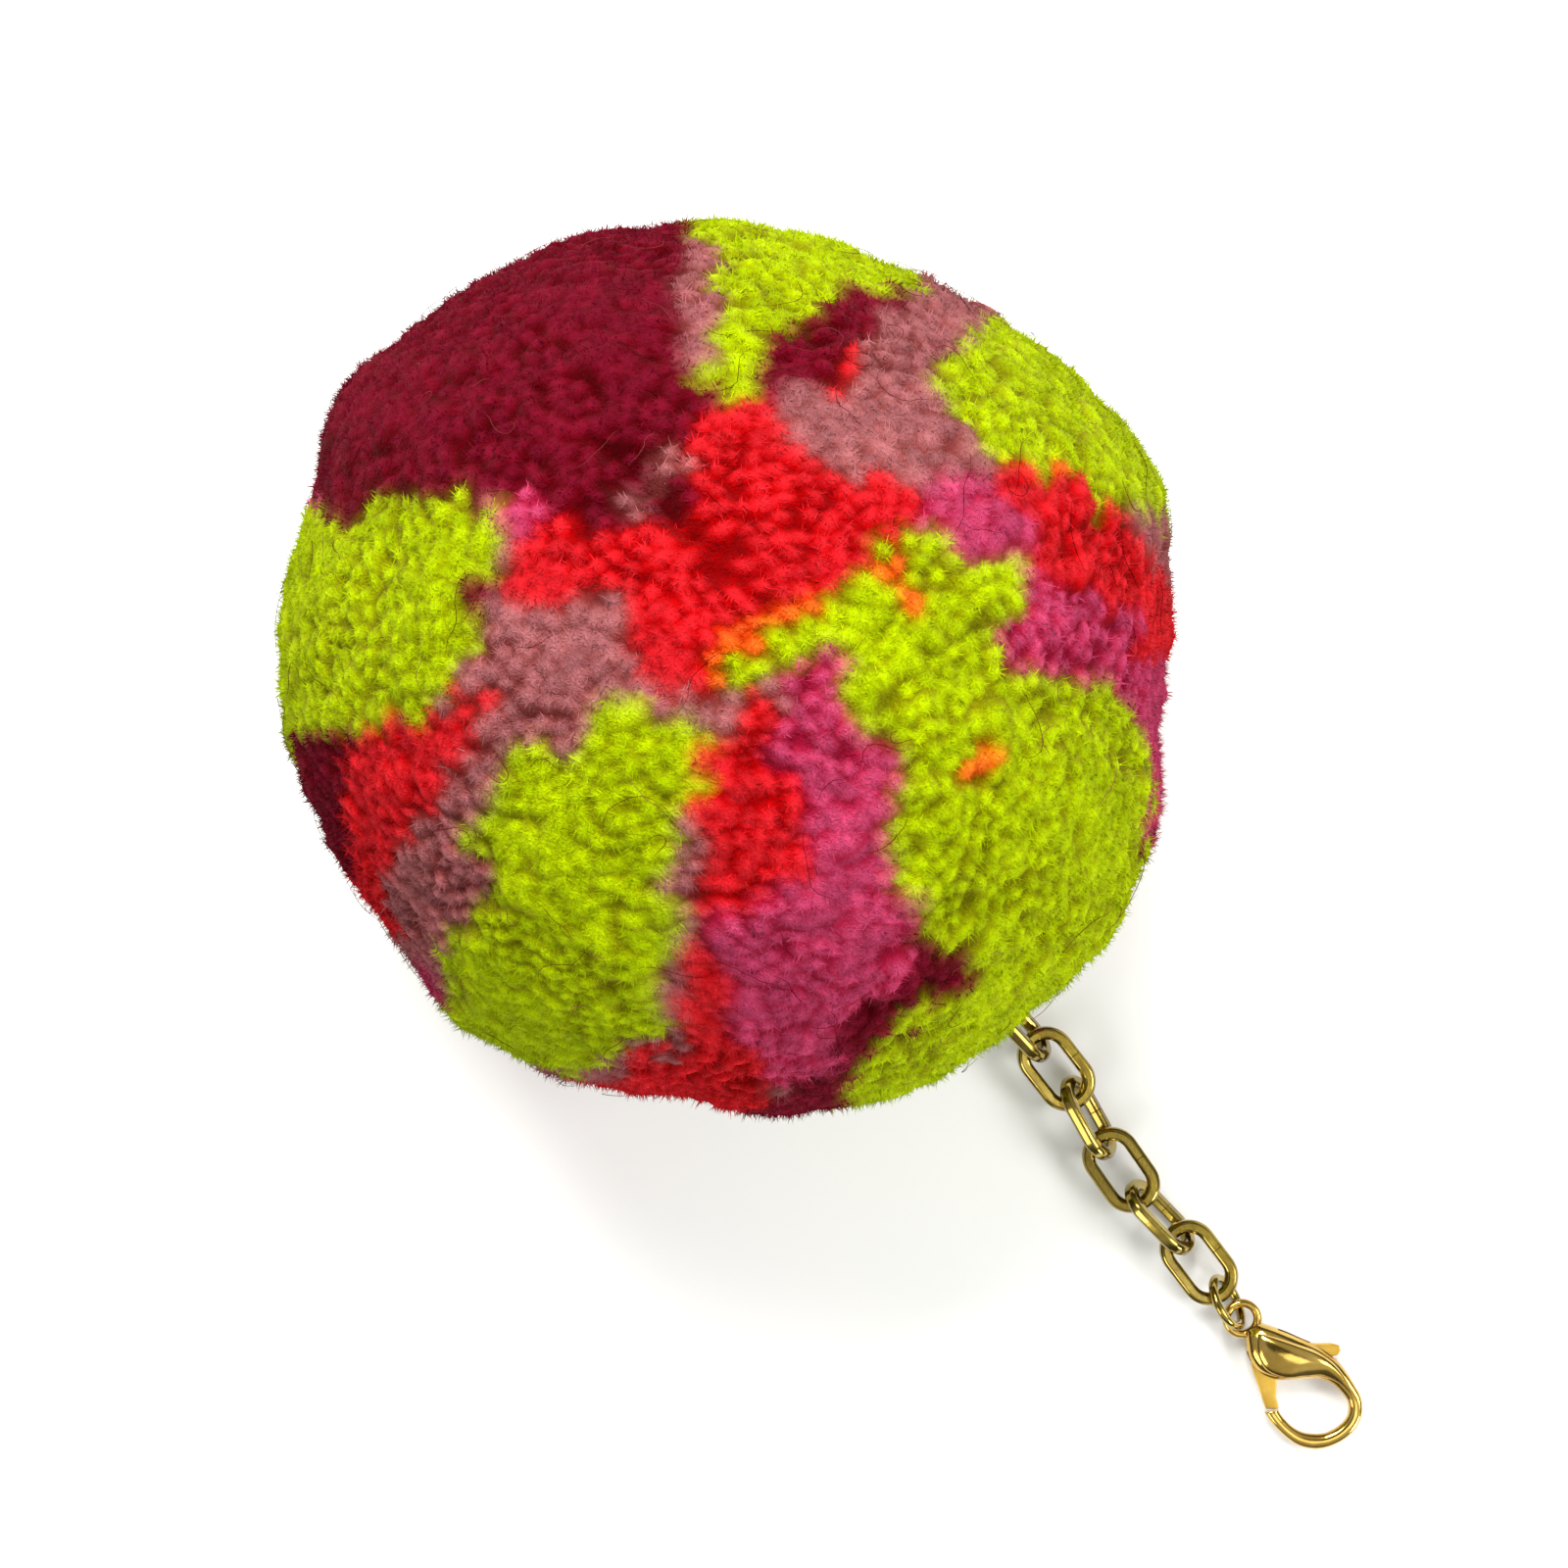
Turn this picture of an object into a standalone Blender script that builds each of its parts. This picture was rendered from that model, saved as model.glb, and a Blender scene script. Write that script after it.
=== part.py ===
# Yarn pom pom charm with a short chain and a lobster clasp, laid on a table.
# Frame: the ball of yarn rests on the origin, +Z is up and the chain runs out along +X.
# Sizes below are in millimetres, and MM turns them into Blender's metres.

import math

import bmesh
import bpy
from mathutils import Matrix, Vector, noise

MM = 0.001

# Ball of yarn: its centre stands lower than its radius, which leaves a small flat spot
BALL_HEIGHT = 50.0
BALL_RADIUS = 53.5
# Reach of the pile round its rim, every 15 degrees from the chain's side
RIM_STEP = 15.0
RIM_REACH = (
    55.4, 56.3, 55.2, 52.5, 54.0, 56.8, 54.7, 52.7, 51.9, 52.6, 53.0, 54.0,
    54.2, 55.7, 52.2, 52.6, 52.3, 50.9, 50.5, 52.4, 52.5, 51.5, 53.9, 55.1,
)
LUMP_DEPTH = 0.9
LUMP_SIZE = 30.0

# Locks of cut yarn that stand on the ball's solid heart
LOCKS_PER_SIDE = 7
LOCK_LENGTH = 12.0
LOCK_LENGTH_SPREAD = 2.2
LOCK_CROWN = 1.9
ROOT_GAP = 0.11
SHOULDER_GAP = 0.14
CROWN_GAP = 0.36
LOCK_WANDER = 0.130
WANDER_CHANGE = 2.3
LOCK_JITTER = 0.060
LOCK_LEAN = 0.030
# How fast the lean and length change from one lock to the next
LOCK_CHANGE = 31.0

# Chain: nine bent-wire links, three of them under the overhang of the ball
LINK_LENGTH = 12.3
LINK_WIDTH = 7.8
WIRE = 1.75
WIRE_CHAMFER = 0.50
LINK_ARC_STEPS = 10
FIRST_BAR_RADIUS = 45.1
CHAIN_DIP = 38.57
# Each link's heading, downward slope and roll about its own length in degrees,
# and the play between its outer bar and the next piece's bar
CHAIN = (
    # name, heading, slope, roll, play
    ("chain_link_1", 0.0, CHAIN_DIP, 0.0, 0.46),
    ("chain_link_2", 3.0, 41.0, 90.0, 0.51),
    ("chain_link_3", 5.0, 30.0, 0.0, 0.81),
    ("chain_link_4", 4.0, 15.0, -68.0, 0.80),
    ("chain_link_5", -1.0, 5.0, -4.0, 0.93),
    ("chain_link_6", -10.0, 0.0, -64.0, 0.58),
    ("chain_link_7", -4.0, 0.0, 5.0, 0.62),
    ("chain_link_8", 5.0, 0.0, -64.0, 0.84),
    ("chain_link_9", -2.0, 0.0, -4.0, 0.68),
)

# Yarn bight at the heart of the ball that holds the first link
TIE_YARN = 1.7
TIE_PLAY = 0.40
PARTING_WIDTH = 24.0
PARTING_SPREAD = 0.28

# Jump ring between the chain and the clasp
RING_OUTER = 8.0
RING_WIRE = 1.2
RING_HEADING = -9.0
RING_ROLL = -66.0
RING_HEIGHT = 3.67

# Lobster clasp, drawn in its own plane: s runs from the eye to the bow, t across
CLASP_HEADING = -3.2
CLASP_MIDDLE = 2.4
EYE_OUTER = 5.2
EYE_WIRE = 1.05
EYE_CENTRE = 2.5
EYE_SLACK = (0.05, 0.10)
# The casting from its neck round the bow to its tip: edge points and thickness
CASTING = (
    # outer s, outer t, inner s, inner t, thickness
    (4.25, 1.55, 4.15, -0.75, 2.3),
    (5.50, 2.55, 5.20, -1.45, 3.7),
    (7.30, 3.80, 7.10, -2.40, 4.5),
    (9.30, 5.00, 9.60, -2.40, 4.8),
    (11.20, 6.10, 11.90, -0.90, 4.8),
    (13.00, 6.80, 13.50, 1.50, 4.4),
    (14.80, 7.15, 14.80, 3.40, 3.6),
    (16.60, 7.20, 16.40, 4.50, 2.9),
    (18.40, 7.05, 18.20, 4.95, 2.4),
    (20.20, 6.80, 19.60, 4.95, 2.1),
    (21.70, 6.00, 20.60, 4.45, 2.0),
    (22.80, 4.75, 21.30, 3.55, 2.0),
    (23.40, 3.10, 21.60, 2.40, 2.0),
    (23.50, 1.20, 21.60, 1.20, 2.0),
    (23.05, -0.85, 21.25, -0.15, 2.0),
    (22.05, -2.60, 20.40, -1.40, 2.0),
    (20.50, -3.90, 19.40, -2.35, 1.9),
    (18.60, -4.60, 18.10, -2.95, 1.9),
    (16.60, -4.95, 16.50, -3.25, 1.8),
    (14.70, -4.95, 15.45, -3.25, 1.7),
)
CASTING_SIDES = 12
CASTING_STEPS = 2
CASTING_THICKNESS = 4.8
# Slot through the casting in which the lever turns
SLOT_START = 6.3
SLOT_END = 14.2
SLOT_HEIGHT = 2.0

# Sprung lever: its gate shuts the bow and its thumb tab stands out of the back
PIVOT = (8.3, 0.6)
LEVER_THICKNESS = 1.4
GATE_REACH = 7.65
GATE_ANGLES = (-41.5, -35.0, -28.5)
LEVER_INNER = ((13.5, -2.45), (11.9, -1.15), (11.0, 0.40), (11.1, 2.40), (12.2, 4.60), (13.3, 6.40), (13.8, 7.50))
LEVER_TAB = ((13.60, 8.15), (12.90, 8.40), (12.10, 7.75))
LEVER_BACK = ((11.0, 6.10), (9.50, 4.20), (7.70, 2.50), (6.85, 1.30), (6.75, 0.10), (7.10, -1.20), (8.20, -2.65))
RIVET_RADIUS = 0.60
RIVET_PLAY = 0.30
RIVET_LENGTH = 4.3


def metres(*sizes):
    return Vector(size * MM for size in sizes)


def new_collection(name):
    collection = bpy.data.collections.new(name)
    bpy.context.scene.collection.children.link(collection)
    return collection


def principled(name, colour, roughness, metallic):
    material = bpy.data.materials.new(name)
    material.use_nodes = True
    shader = material.node_tree.nodes["Principled BSDF"]
    shader.inputs["Base Color"].default_value = (*colour, 1.0)
    shader.inputs["Roughness"].default_value = roughness
    shader.inputs["Metallic"].default_value = metallic
    return material


def object_from_bmesh(name, bm, collection, material):
    mesh = bpy.data.meshes.new(name)
    bm.to_mesh(mesh)
    bm.free()
    item = bpy.data.objects.new(name, mesh)
    collection.objects.link(item)
    item.data.materials.append(material)
    item.data.shade_smooth()
    item.data.set_sharp_from_angle(angle=math.radians(40.0))
    return item


def mesh_from_curve(curve_object, collection, material, sharp_angle=40.0):
    """A curve object made a closed mesh object of the same name and place."""
    bpy.context.view_layer.update()
    graph = bpy.context.evaluated_depsgraph_get()
    mesh = bpy.data.meshes.new_from_object(curve_object.evaluated_get(graph))
    bm = bmesh.new()
    bm.from_mesh(mesh)
    bmesh.ops.remove_doubles(bm, verts=bm.verts, dist=0.00001)
    bmesh.ops.recalc_face_normals(bm, faces=bm.faces)
    bm.to_mesh(mesh)
    bm.free()
    name, matrix, parent = curve_object.name, curve_object.matrix_world.copy(), curve_object.parent
    bpy.data.objects.remove(curve_object)
    item = bpy.data.objects.new(name, mesh)
    collection.objects.link(item)
    item.parent = parent
    item.matrix_world = matrix
    mesh.materials.clear()
    mesh.materials.append(material)
    mesh.shade_smooth()
    mesh.set_sharp_from_angle(angle=math.radians(sharp_angle))
    return item


def add_boolean(target, other, operation):
    """Joins or cuts target with another object, which is then only a guide."""
    modifier = target.modifiers.new(other.name, "BOOLEAN")
    modifier.operation = operation
    modifier.object = other
    other.hide_render = True
    other.display_type = "WIRE"


def rim_reach(azimuth):
    """Reach of the pile at the rim in that direction, eased between the table's rows."""
    place = math.degrees(azimuth) % 360.0 / RIM_STEP
    row = int(place)
    share = place - row
    ease = share * share * (3.0 - 2.0 * share)
    here, after = RIM_REACH[row % len(RIM_REACH)], RIM_REACH[(row + 1) % len(RIM_REACH)]
    return here + (after - here) * ease


def pile_radius(direction):
    """Distance from the ball's centre to the cut ends of the yarn, before it meets the table."""
    level = direction.x ** 2 + direction.y ** 2
    rim = rim_reach(math.atan2(direction.y, direction.x)) - BALL_RADIUS
    lumps = noise.noise(direction * (BALL_RADIUS / LUMP_SIZE * 2.0)) * LUMP_DEPTH
    return BALL_RADIUS + rim * level + lumps * (1.0 - level)


def chain_entry():
    """Direction from the ball's centre in which the chain leaves it."""
    dip = math.radians(CHAIN_DIP)
    return Vector((math.cos(dip), 0.0, -math.sin(dip)))


def calm(direction):
    """0 at the flat spot and where the chain leaves, where locks stay in line, and 1 elsewhere."""
    nearest = min(direction.angle(chain_entry()), direction.angle(Vector((0.0, 0.0, -1.0))))
    share = min(1.0, max(0.0, (math.degrees(nearest) - 12.0) / 16.0))
    return share * share * (3.0 - 2.0 * share)


def part_round_chain(direction):
    """Moves a direction away from the chain, as the strands part round it."""
    entry = chain_entry()
    angle = math.degrees(direction.angle(entry))
    if angle < 0.01 or angle > PARTING_WIDTH:
        return direction
    push = 1.0 + PARTING_SPREAD * (1.0 - angle / PARTING_WIDTH)
    axis = entry.cross(direction).normalized()
    return Matrix.Rotation(math.radians(angle * push), 3, axis) @ entry


def uneven(point):
    """A small vector that changes with place in every direction, and is the same each run."""
    shifts = (Vector((0.0, 0.0, 0.0)), Vector((19.3, 7.7, 3.1)), Vector((-5.9, 23.3, -11.7)))
    return Vector(noise.noise(point + shift) for shift in shifts)


def lay_out_locks(bm):
    """One face for each lock, as an uneven net of four-sided cells on the unit ball."""
    bmesh.ops.create_cube(bm, size=2.0)
    bmesh.ops.subdivide_edges(bm, edges=bm.edges, cuts=LOCKS_PER_SIDE - 1, use_grid_fill=True)
    for vert in bm.verts:
        even = Vector(math.tan(part * math.pi / 4.0) for part in vert.co).normalized()
        wander = uneven(even * WANDER_CHANGE) * LOCK_WANDER
        jitter = uneven(even * LOCK_CHANGE) * LOCK_JITTER
        vert.co = part_round_chain((even + (wander + jitter) * calm(even)).normalized())


def set_ring(face, middle, gap, radius_at, lean):
    """Draws a face's corners towards its middle by a share of the way, and out to a radius."""
    for vert in face.verts:
        direction = (vert.co.normalized().lerp(middle, gap) + lean).normalized()
        vert.co = direction * radius_at(direction)


def raise_lock(bm, face):
    """Turns one cell into a lock: its foot on the heart, its shoulder and its blunt crown."""
    middle = face.calc_center_median().normalized()
    own_length = noise.noise(middle * LOCK_CHANGE) * LOCK_LENGTH_SPREAD * calm(middle)
    side = uneven(-middle * LOCK_CHANGE) * LOCK_LEAN * calm(middle)
    steady = Vector((0.0, 0.0, 0.0))

    def heart(direction):
        return pile_radius(direction) - LOCK_LENGTH

    def crown(direction):
        free = pile_radius(direction) + own_length
        if direction.z < 0.0:
            return min(free, BALL_HEIGHT / -direction.z)
        return free

    def shoulder(direction):
        return crown(direction) - LOCK_CROWN

    bmesh.ops.inset_individual(bm, faces=[face], thickness=0.001)
    set_ring(face, middle, ROOT_GAP, heart, steady)
    for gap, radius_at in ((SHOULDER_GAP - ROOT_GAP, shoulder), (CROWN_GAP, crown)):
        face = bmesh.ops.extrude_discrete_faces(bm, faces=[face])["faces"][0]
        set_ring(face, middle, gap, radius_at, side)


def make_tie(collection, material):
    """Bight of the tie yarn round the end of the first link, sunk in the ball's heart."""
    entry = chain_entry()
    inside = FIRST_BAR_RADIUS + WIRE / 2.0 + TIE_PLAY
    floor = pile_radius(entry) - LOCK_LENGTH - 0.6
    bpy.ops.mesh.primitive_torus_add(
        major_radius=(inside + TIE_YARN / 2.0 - floor) * MM,
        minor_radius=TIE_YARN / 2.0 * MM,
        major_segments=20,
        minor_segments=8,
        location=Vector((0.0, 0.0, BALL_HEIGHT * MM)) + entry * floor * MM,
        rotation=(math.pi / 2.0, 0.0, math.radians(CHAIN[0][1])),
    )
    tie = bpy.context.object
    tie.name = "tie_bight"
    tie.data.materials.append(material)
    for owner in tie.users_collection:
        owner.objects.unlink(tie)
    collection.objects.link(tie)
    return tie


def make_pom_pom(collection, guides, material):
    """The ball of yarn: a solid heart with its locks, one solid."""
    bm = bmesh.new()
    lay_out_locks(bm)
    cells = list(bm.faces)
    entry = chain_entry()
    opening = min(cells, key=lambda face: face.calc_center_median().angle(entry))
    for vert in bm.verts:
        direction = vert.co.normalized()
        vert.co = direction * (pile_radius(direction) - LOCK_LENGTH)
    for face in cells:
        if face is not opening:
            raise_lock(bm, face)
    for vert in bm.verts:
        vert.co.z += BALL_HEIGHT
        if abs(vert.co.z) < 0.0001:
            vert.co.z = 0.0
        vert.co *= MM
    ball = object_from_bmesh("pom_pom", bm, collection, material)
    add_boolean(ball, make_tie(guides, material), "UNION")
    return ball


def racetrack(length, width, arc_steps):
    """Centre line of a bent link: two straight sides and two half circles."""
    radius = width / 2.0
    straight = length / 2.0 - radius
    points = []
    for end, turn in ((1.0, -90.0), (-1.0, 90.0)):
        for step in range(arc_steps + 1):
            angle = math.radians(turn + 180.0 * step / arc_steps)
            points.append((end * straight + radius * math.cos(angle), radius * math.sin(angle)))
    return points


def closed_curve(name, points, collection, dimensions="3D"):
    curve = bpy.data.curves.new(name, "CURVE")
    curve.dimensions = dimensions
    spline = curve.splines.new("POLY")
    spline.points.add(len(points) - 1)
    for point, place in zip(spline.points, points):
        point.co = (*metres(*place, 0.0), 1.0)
    spline.use_cyclic_u = True
    item = bpy.data.objects.new(name, curve)
    collection.objects.link(item)
    return item


def make_wire_section(guides):
    """Section of the link wire: a square drawn flat on its sides, with its corners taken off."""
    half, cut = WIRE / 2.0, WIRE / 2.0 - WIRE_CHAMFER
    corners = ((half, -cut), (half, cut), (cut, half), (-cut, half), (-half, cut), (-half, -cut), (-cut, -half), (cut, -half))
    section = closed_curve("wire_section", corners, guides, "2D")
    section.data.fill_mode = "NONE"
    section.hide_render = True
    section.display_type = "WIRE"
    return section


def link_direction(heading, slope):
    turned, dipped = math.radians(heading), math.radians(slope)
    return Vector((math.cos(dipped) * math.cos(turned), math.cos(dipped) * math.sin(turned), -math.sin(dipped)))


def axes_matrix(origin, along, roll):
    """Places a flat piece with its x along a direction, rolled about it from lying level."""
    across = Vector((0.0, 0.0, 1.0)).cross(along).normalized()
    up = along.cross(across)
    level = Matrix((along, across, up)).transposed()
    turned = level @ Matrix.Rotation(math.radians(roll), 3, "X")
    return Matrix.Translation(origin) @ turned.to_4x4()


def make_chain(collection, guides, material):
    """The links from the tie outwards. Returns the middle of the last link's outer bar."""
    section = make_wire_section(guides)
    outline = racetrack(LINK_LENGTH - WIRE, LINK_WIDTH - WIRE, LINK_ARC_STEPS)
    bar = Vector((0.0, 0.0, BALL_HEIGHT)) + chain_entry() * FIRST_BAR_RADIUS
    overlap_before = 0.0
    for name, heading, slope, roll, play in CHAIN:
        along = link_direction(heading, slope)
        near_bar = bar - along * overlap_before
        link = closed_curve(name, outline, collection)
        link.data.bevel_mode = "OBJECT"
        link.data.bevel_object = section
        link.data.twist_mode = "Z_UP"
        centre = near_bar + along * (LINK_LENGTH - WIRE) / 2.0
        link.matrix_world = axes_matrix(centre * MM, along, roll)
        mesh_from_curve(link, collection, material)
        far_bar = near_bar + along * (LINK_LENGTH - WIRE)
        overlap_before = (WIRE + play) / 2.0
        bar = far_bar - along * overlap_before
    return far_bar


def make_jump_ring(collection, material, last_bar):
    """Round ring in the last link. Returns the point where it passes the clasp's mid-plane."""
    along = link_direction(RING_HEADING, 0.0)
    radius = (RING_OUTER - RING_WIRE) / 2.0
    centre = last_bar + along * (radius - (WIRE + RING_WIRE) / 2.0 - CHAIN[-1][4])
    centre.z = RING_HEIGHT
    bpy.ops.mesh.primitive_torus_add(
        major_radius=radius * MM,
        minor_radius=RING_WIRE / 2.0 * MM,
        major_segments=28,
        minor_segments=8,
    )
    ring = bpy.context.object
    ring.name = "jump_ring"
    ring.matrix_world = axes_matrix(centre * MM, along, RING_ROLL)
    ring.data.materials.append(material)
    ring.data.shade_smooth()
    for owner in ring.users_collection:
        owner.objects.unlink(ring)
    collection.objects.link(ring)
    rise = (CLASP_MIDDLE - RING_HEIGHT) / math.sin(math.radians(RING_ROLL))
    across = Vector((-along.y, along.x, 0.0))
    sideways = across * rise * math.cos(math.radians(RING_ROLL))
    return centre + along * math.sqrt(radius ** 2 - rise ** 2) + sideways


def casting_rows():
    """The casting's rows with eased rows between them, as Catmull-Rom curves."""
    rows = []
    for index in range(len(CASTING) - 1):
        around = [CASTING[max(0, index - 1)], CASTING[index], CASTING[index + 1], CASTING[min(len(CASTING) - 1, index + 2)]]
        for step in range(CASTING_STEPS):
            share = step / CASTING_STEPS
            row = [spline_value(*values, share) for values in zip(*around)]
            rows.append(row[:4] + [min(row[4], CASTING_THICKNESS)])
    rows.append(list(CASTING[-1]))
    return rows


def spline_value(before, start, end, after, share):
    pull = (2.0 * start, end - before, 2.0 * before - 5.0 * start + 4.0 * end - after, 3.0 * (start - end) + after - before)
    return 0.5 * sum(term * share ** power for power, term in enumerate(pull))


def casting_section(outer_s, outer_t, inner_s, inner_t, thickness):
    """Points round one section of the casting, an oval with flattened sides."""
    middle = Vector(((outer_s + inner_s) / 2.0, (outer_t + inner_t) / 2.0, 0.0))
    half = Vector(((outer_s - inner_s) / 2.0, (outer_t - inner_t) / 2.0, 0.0))
    points = []
    for side in range(CASTING_SIDES):
        angle = 2.0 * math.pi * (side + 0.5) / CASTING_SIDES
        across = math.copysign(abs(math.cos(angle)) ** 0.8, math.cos(angle))
        up = math.copysign(abs(math.sin(angle)) ** 0.8, math.sin(angle))
        reach = abs(math.cos(math.pi / CASTING_SIDES)) ** 0.8
        points.append(middle + half * (across / reach) + Vector((0.0, 0.0, up / reach * thickness / 2.0)))
    return points


def make_casting(collection, guides, clasp_frame, material):
    """The clasp's one casting: eye, body and bow, with the lever's slot and rivet hole cut out."""
    bm = bmesh.new()
    rings = []
    for row in casting_rows():
        rings.append([bm.verts.new(point * MM) for point in casting_section(*row)])
    for before, after in zip(rings, rings[1:]):
        for side in range(CASTING_SIDES):
            follow = (side + 1) % CASTING_SIDES
            bm.faces.new((before[side], before[follow], after[follow], after[side]))
    bm.faces.new(rings[0][::-1])
    bm.faces.new(rings[-1])
    bmesh.ops.recalc_face_normals(bm, faces=bm.faces)
    casting = object_from_bmesh("clasp_casting", bm, collection, material)
    casting.parent = clasp_frame

    bpy.ops.mesh.primitive_torus_add(
        major_radius=(EYE_OUTER - EYE_WIRE) / 2.0 * MM,
        minor_radius=EYE_WIRE / 2.0 * MM,
        major_segments=24,
        minor_segments=8,
        location=metres(EYE_CENTRE, 0.0, 0.0),
    )
    eye = adopt(bpy.context.object, "clasp_eye", guides, clasp_frame)
    add_boolean(casting, eye, "UNION")

    bpy.ops.mesh.primitive_cube_add(size=1.0, location=metres((SLOT_START + SLOT_END) / 2.0, 2.0, 0.0))
    slot = adopt(bpy.context.object, "lever_slot", guides, clasp_frame)
    slot.scale = metres(SLOT_END - SLOT_START, 20.0, SLOT_HEIGHT)
    add_boolean(casting, slot, "DIFFERENCE")

    bpy.ops.mesh.primitive_cylinder_add(
        vertices=16,
        radius=(RIVET_RADIUS + RIVET_PLAY) * MM,
        depth=8.0 * MM,
        location=metres(*PIVOT, 0.0),
    )
    hole = adopt(bpy.context.object, "rivet_hole", guides, clasp_frame)
    add_boolean(casting, hole, "DIFFERENCE")
    return casting


def adopt(item, name, collection, parent):
    """Names a new primitive, moves it to its collection and puts it in the clasp's frame."""
    item.name = name
    for owner in item.users_collection:
        owner.objects.unlink(item)
    collection.objects.link(item)
    item.parent = parent
    return item


def circle_points(centre, radius, count):
    angles = (2.0 * math.pi * step / count for step in range(count))
    return [(centre[0] + radius * math.cos(angle), centre[1] + radius * math.sin(angle)) for angle in angles]


def lever_outline():
    """The lever seen flat, about its pivot: gate end, inner edge, thumb tab and back."""
    gate_end = []
    for angle in GATE_ANGLES:
        turned = math.radians(angle)
        gate_end.append((PIVOT[0] + GATE_REACH * math.cos(turned), PIVOT[1] + GATE_REACH * math.sin(turned)))
    outline = gate_end + list(LEVER_INNER) + list(LEVER_TAB) + list(LEVER_BACK)
    return [(s - PIVOT[0], t - PIVOT[1]) for s, t in outline]


def make_lever(collection, clasp_frame, material):
    """The gate and thumb tab in one flat piece, whose origin is on the rivet."""
    lever = closed_curve("clasp_lever", lever_outline(), collection, "2D")
    hole = lever.data.splines.new("POLY")
    points = circle_points((0.0, 0.0), RIVET_RADIUS + RIVET_PLAY, 14)
    hole.points.add(len(points) - 1)
    for point, place in zip(hole.points, points):
        point.co = (*metres(*place, 0.0), 1.0)
    hole.use_cyclic_u = True
    lever.data.fill_mode = "BOTH"
    lever.data.extrude = LEVER_THICKNESS / 2.0 * MM
    lever.parent = clasp_frame
    lever.location = metres(*PIVOT, 0.0)
    return mesh_from_curve(lever, collection, material)


def make_rivet(collection, clasp_frame, material):
    bpy.ops.mesh.primitive_cylinder_add(
        vertices=14,
        radius=RIVET_RADIUS * MM,
        depth=RIVET_LENGTH * MM,
        location=metres(*PIVOT, 0.0),
    )
    rivet = adopt(bpy.context.object, "clasp_rivet", collection, clasp_frame)
    rivet.data.materials.append(material)
    return rivet


def make_clasp(collection, guides, material, ring_crossing):
    """The lobster clasp in its own frame, an empty at the outside of its eye."""
    clasp_frame = bpy.data.objects.new("clasp_frame", None)
    collection.objects.link(clasp_frame)
    heading = math.radians(CLASP_HEADING)
    along = Vector((math.cos(heading), math.sin(heading), 0.0))
    across = Vector((-along.y, along.x, 0.0))
    origin = ring_crossing + along * (EYE_SLACK[0] - EYE_CENTRE) + across * EYE_SLACK[1]
    origin.z = CLASP_MIDDLE
    clasp_frame.matrix_world = Matrix.Translation(origin * MM) @ Matrix.Rotation(heading, 4, "Z")
    bpy.context.view_layer.update()
    make_casting(collection, guides, clasp_frame, material)
    make_lever(collection, clasp_frame, material)
    make_rivet(collection, clasp_frame, material)


def main():
    for item in list(bpy.data.objects):
        bpy.data.objects.remove(item)
    charm = new_collection("pom_pom_charm")
    guides = new_collection("cutters_and_guides")
    yarn = principled("yarn", (0.78, 0.10, 0.14), 0.95, 0.0)
    plated = principled("plated_brass", (0.72, 0.52, 0.16), 0.22, 1.0)
    cast = principled("cast_brass", (0.78, 0.55, 0.17), 0.18, 1.0)

    make_pom_pom(charm, guides, yarn)
    last_bar = make_chain(charm, guides, plated)
    ring_crossing = make_jump_ring(charm, plated, last_bar)
    make_clasp(charm, guides, cast, ring_crossing)


main()
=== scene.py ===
import math

import bmesh
import bpy
import numpy as np
from mathutils import Matrix, Vector, kdtree


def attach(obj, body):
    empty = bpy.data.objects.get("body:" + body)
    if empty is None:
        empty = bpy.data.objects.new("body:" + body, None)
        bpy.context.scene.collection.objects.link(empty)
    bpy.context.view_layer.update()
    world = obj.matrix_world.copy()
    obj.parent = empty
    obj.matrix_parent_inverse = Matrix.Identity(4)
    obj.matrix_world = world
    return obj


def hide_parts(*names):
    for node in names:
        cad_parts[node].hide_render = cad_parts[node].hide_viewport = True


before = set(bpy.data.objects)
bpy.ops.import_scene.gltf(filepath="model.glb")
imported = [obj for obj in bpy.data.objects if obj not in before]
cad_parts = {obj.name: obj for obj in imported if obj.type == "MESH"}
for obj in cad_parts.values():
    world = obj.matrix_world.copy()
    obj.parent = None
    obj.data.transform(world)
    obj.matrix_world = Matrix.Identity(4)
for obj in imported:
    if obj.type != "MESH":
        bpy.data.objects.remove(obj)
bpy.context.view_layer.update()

mm = 0.001


def hexToLinear(hexColour):
    channels = [int(hexColour[i:i + 2], 16) / 255.0 for i in (1, 3, 5)]  # hex values are sRGB
    linear = [c / 12.92 if c <= 0.04045 else ((c + 0.055) / 1.055) ** 2.4 for c in channels]
    return (*linear, 1.0)


def addNode(tree, kind, settings=None, links=None):
    node = tree.nodes.new(kind)
    for name, value in (settings or {}).items():
        if name in node.inputs:
            node.inputs[name].default_value = value
        else:
            setattr(node, name, value)
    for name, source in (links or {}).items():
        tree.links.new(source, node.inputs[name])
    return node


def startMaterial(name, shaderSettings):
    material = bpy.data.materials.new(name)
    material.use_nodes = True
    shader = material.node_tree.nodes["Principled BSDF"]
    for socket, value in shaderSettings.items():
        shader.inputs[socket].default_value = value
    return material, material.node_tree, shader


def setStops(ramp, stops):
    elements = ramp.color_ramp.elements
    while len(elements) < len(stops):
        elements.new(0.5)
    for element, (position, hexColour) in zip(elements, stops):
        element.position = position
        element.color = hexToLinear(hexColour)


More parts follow.
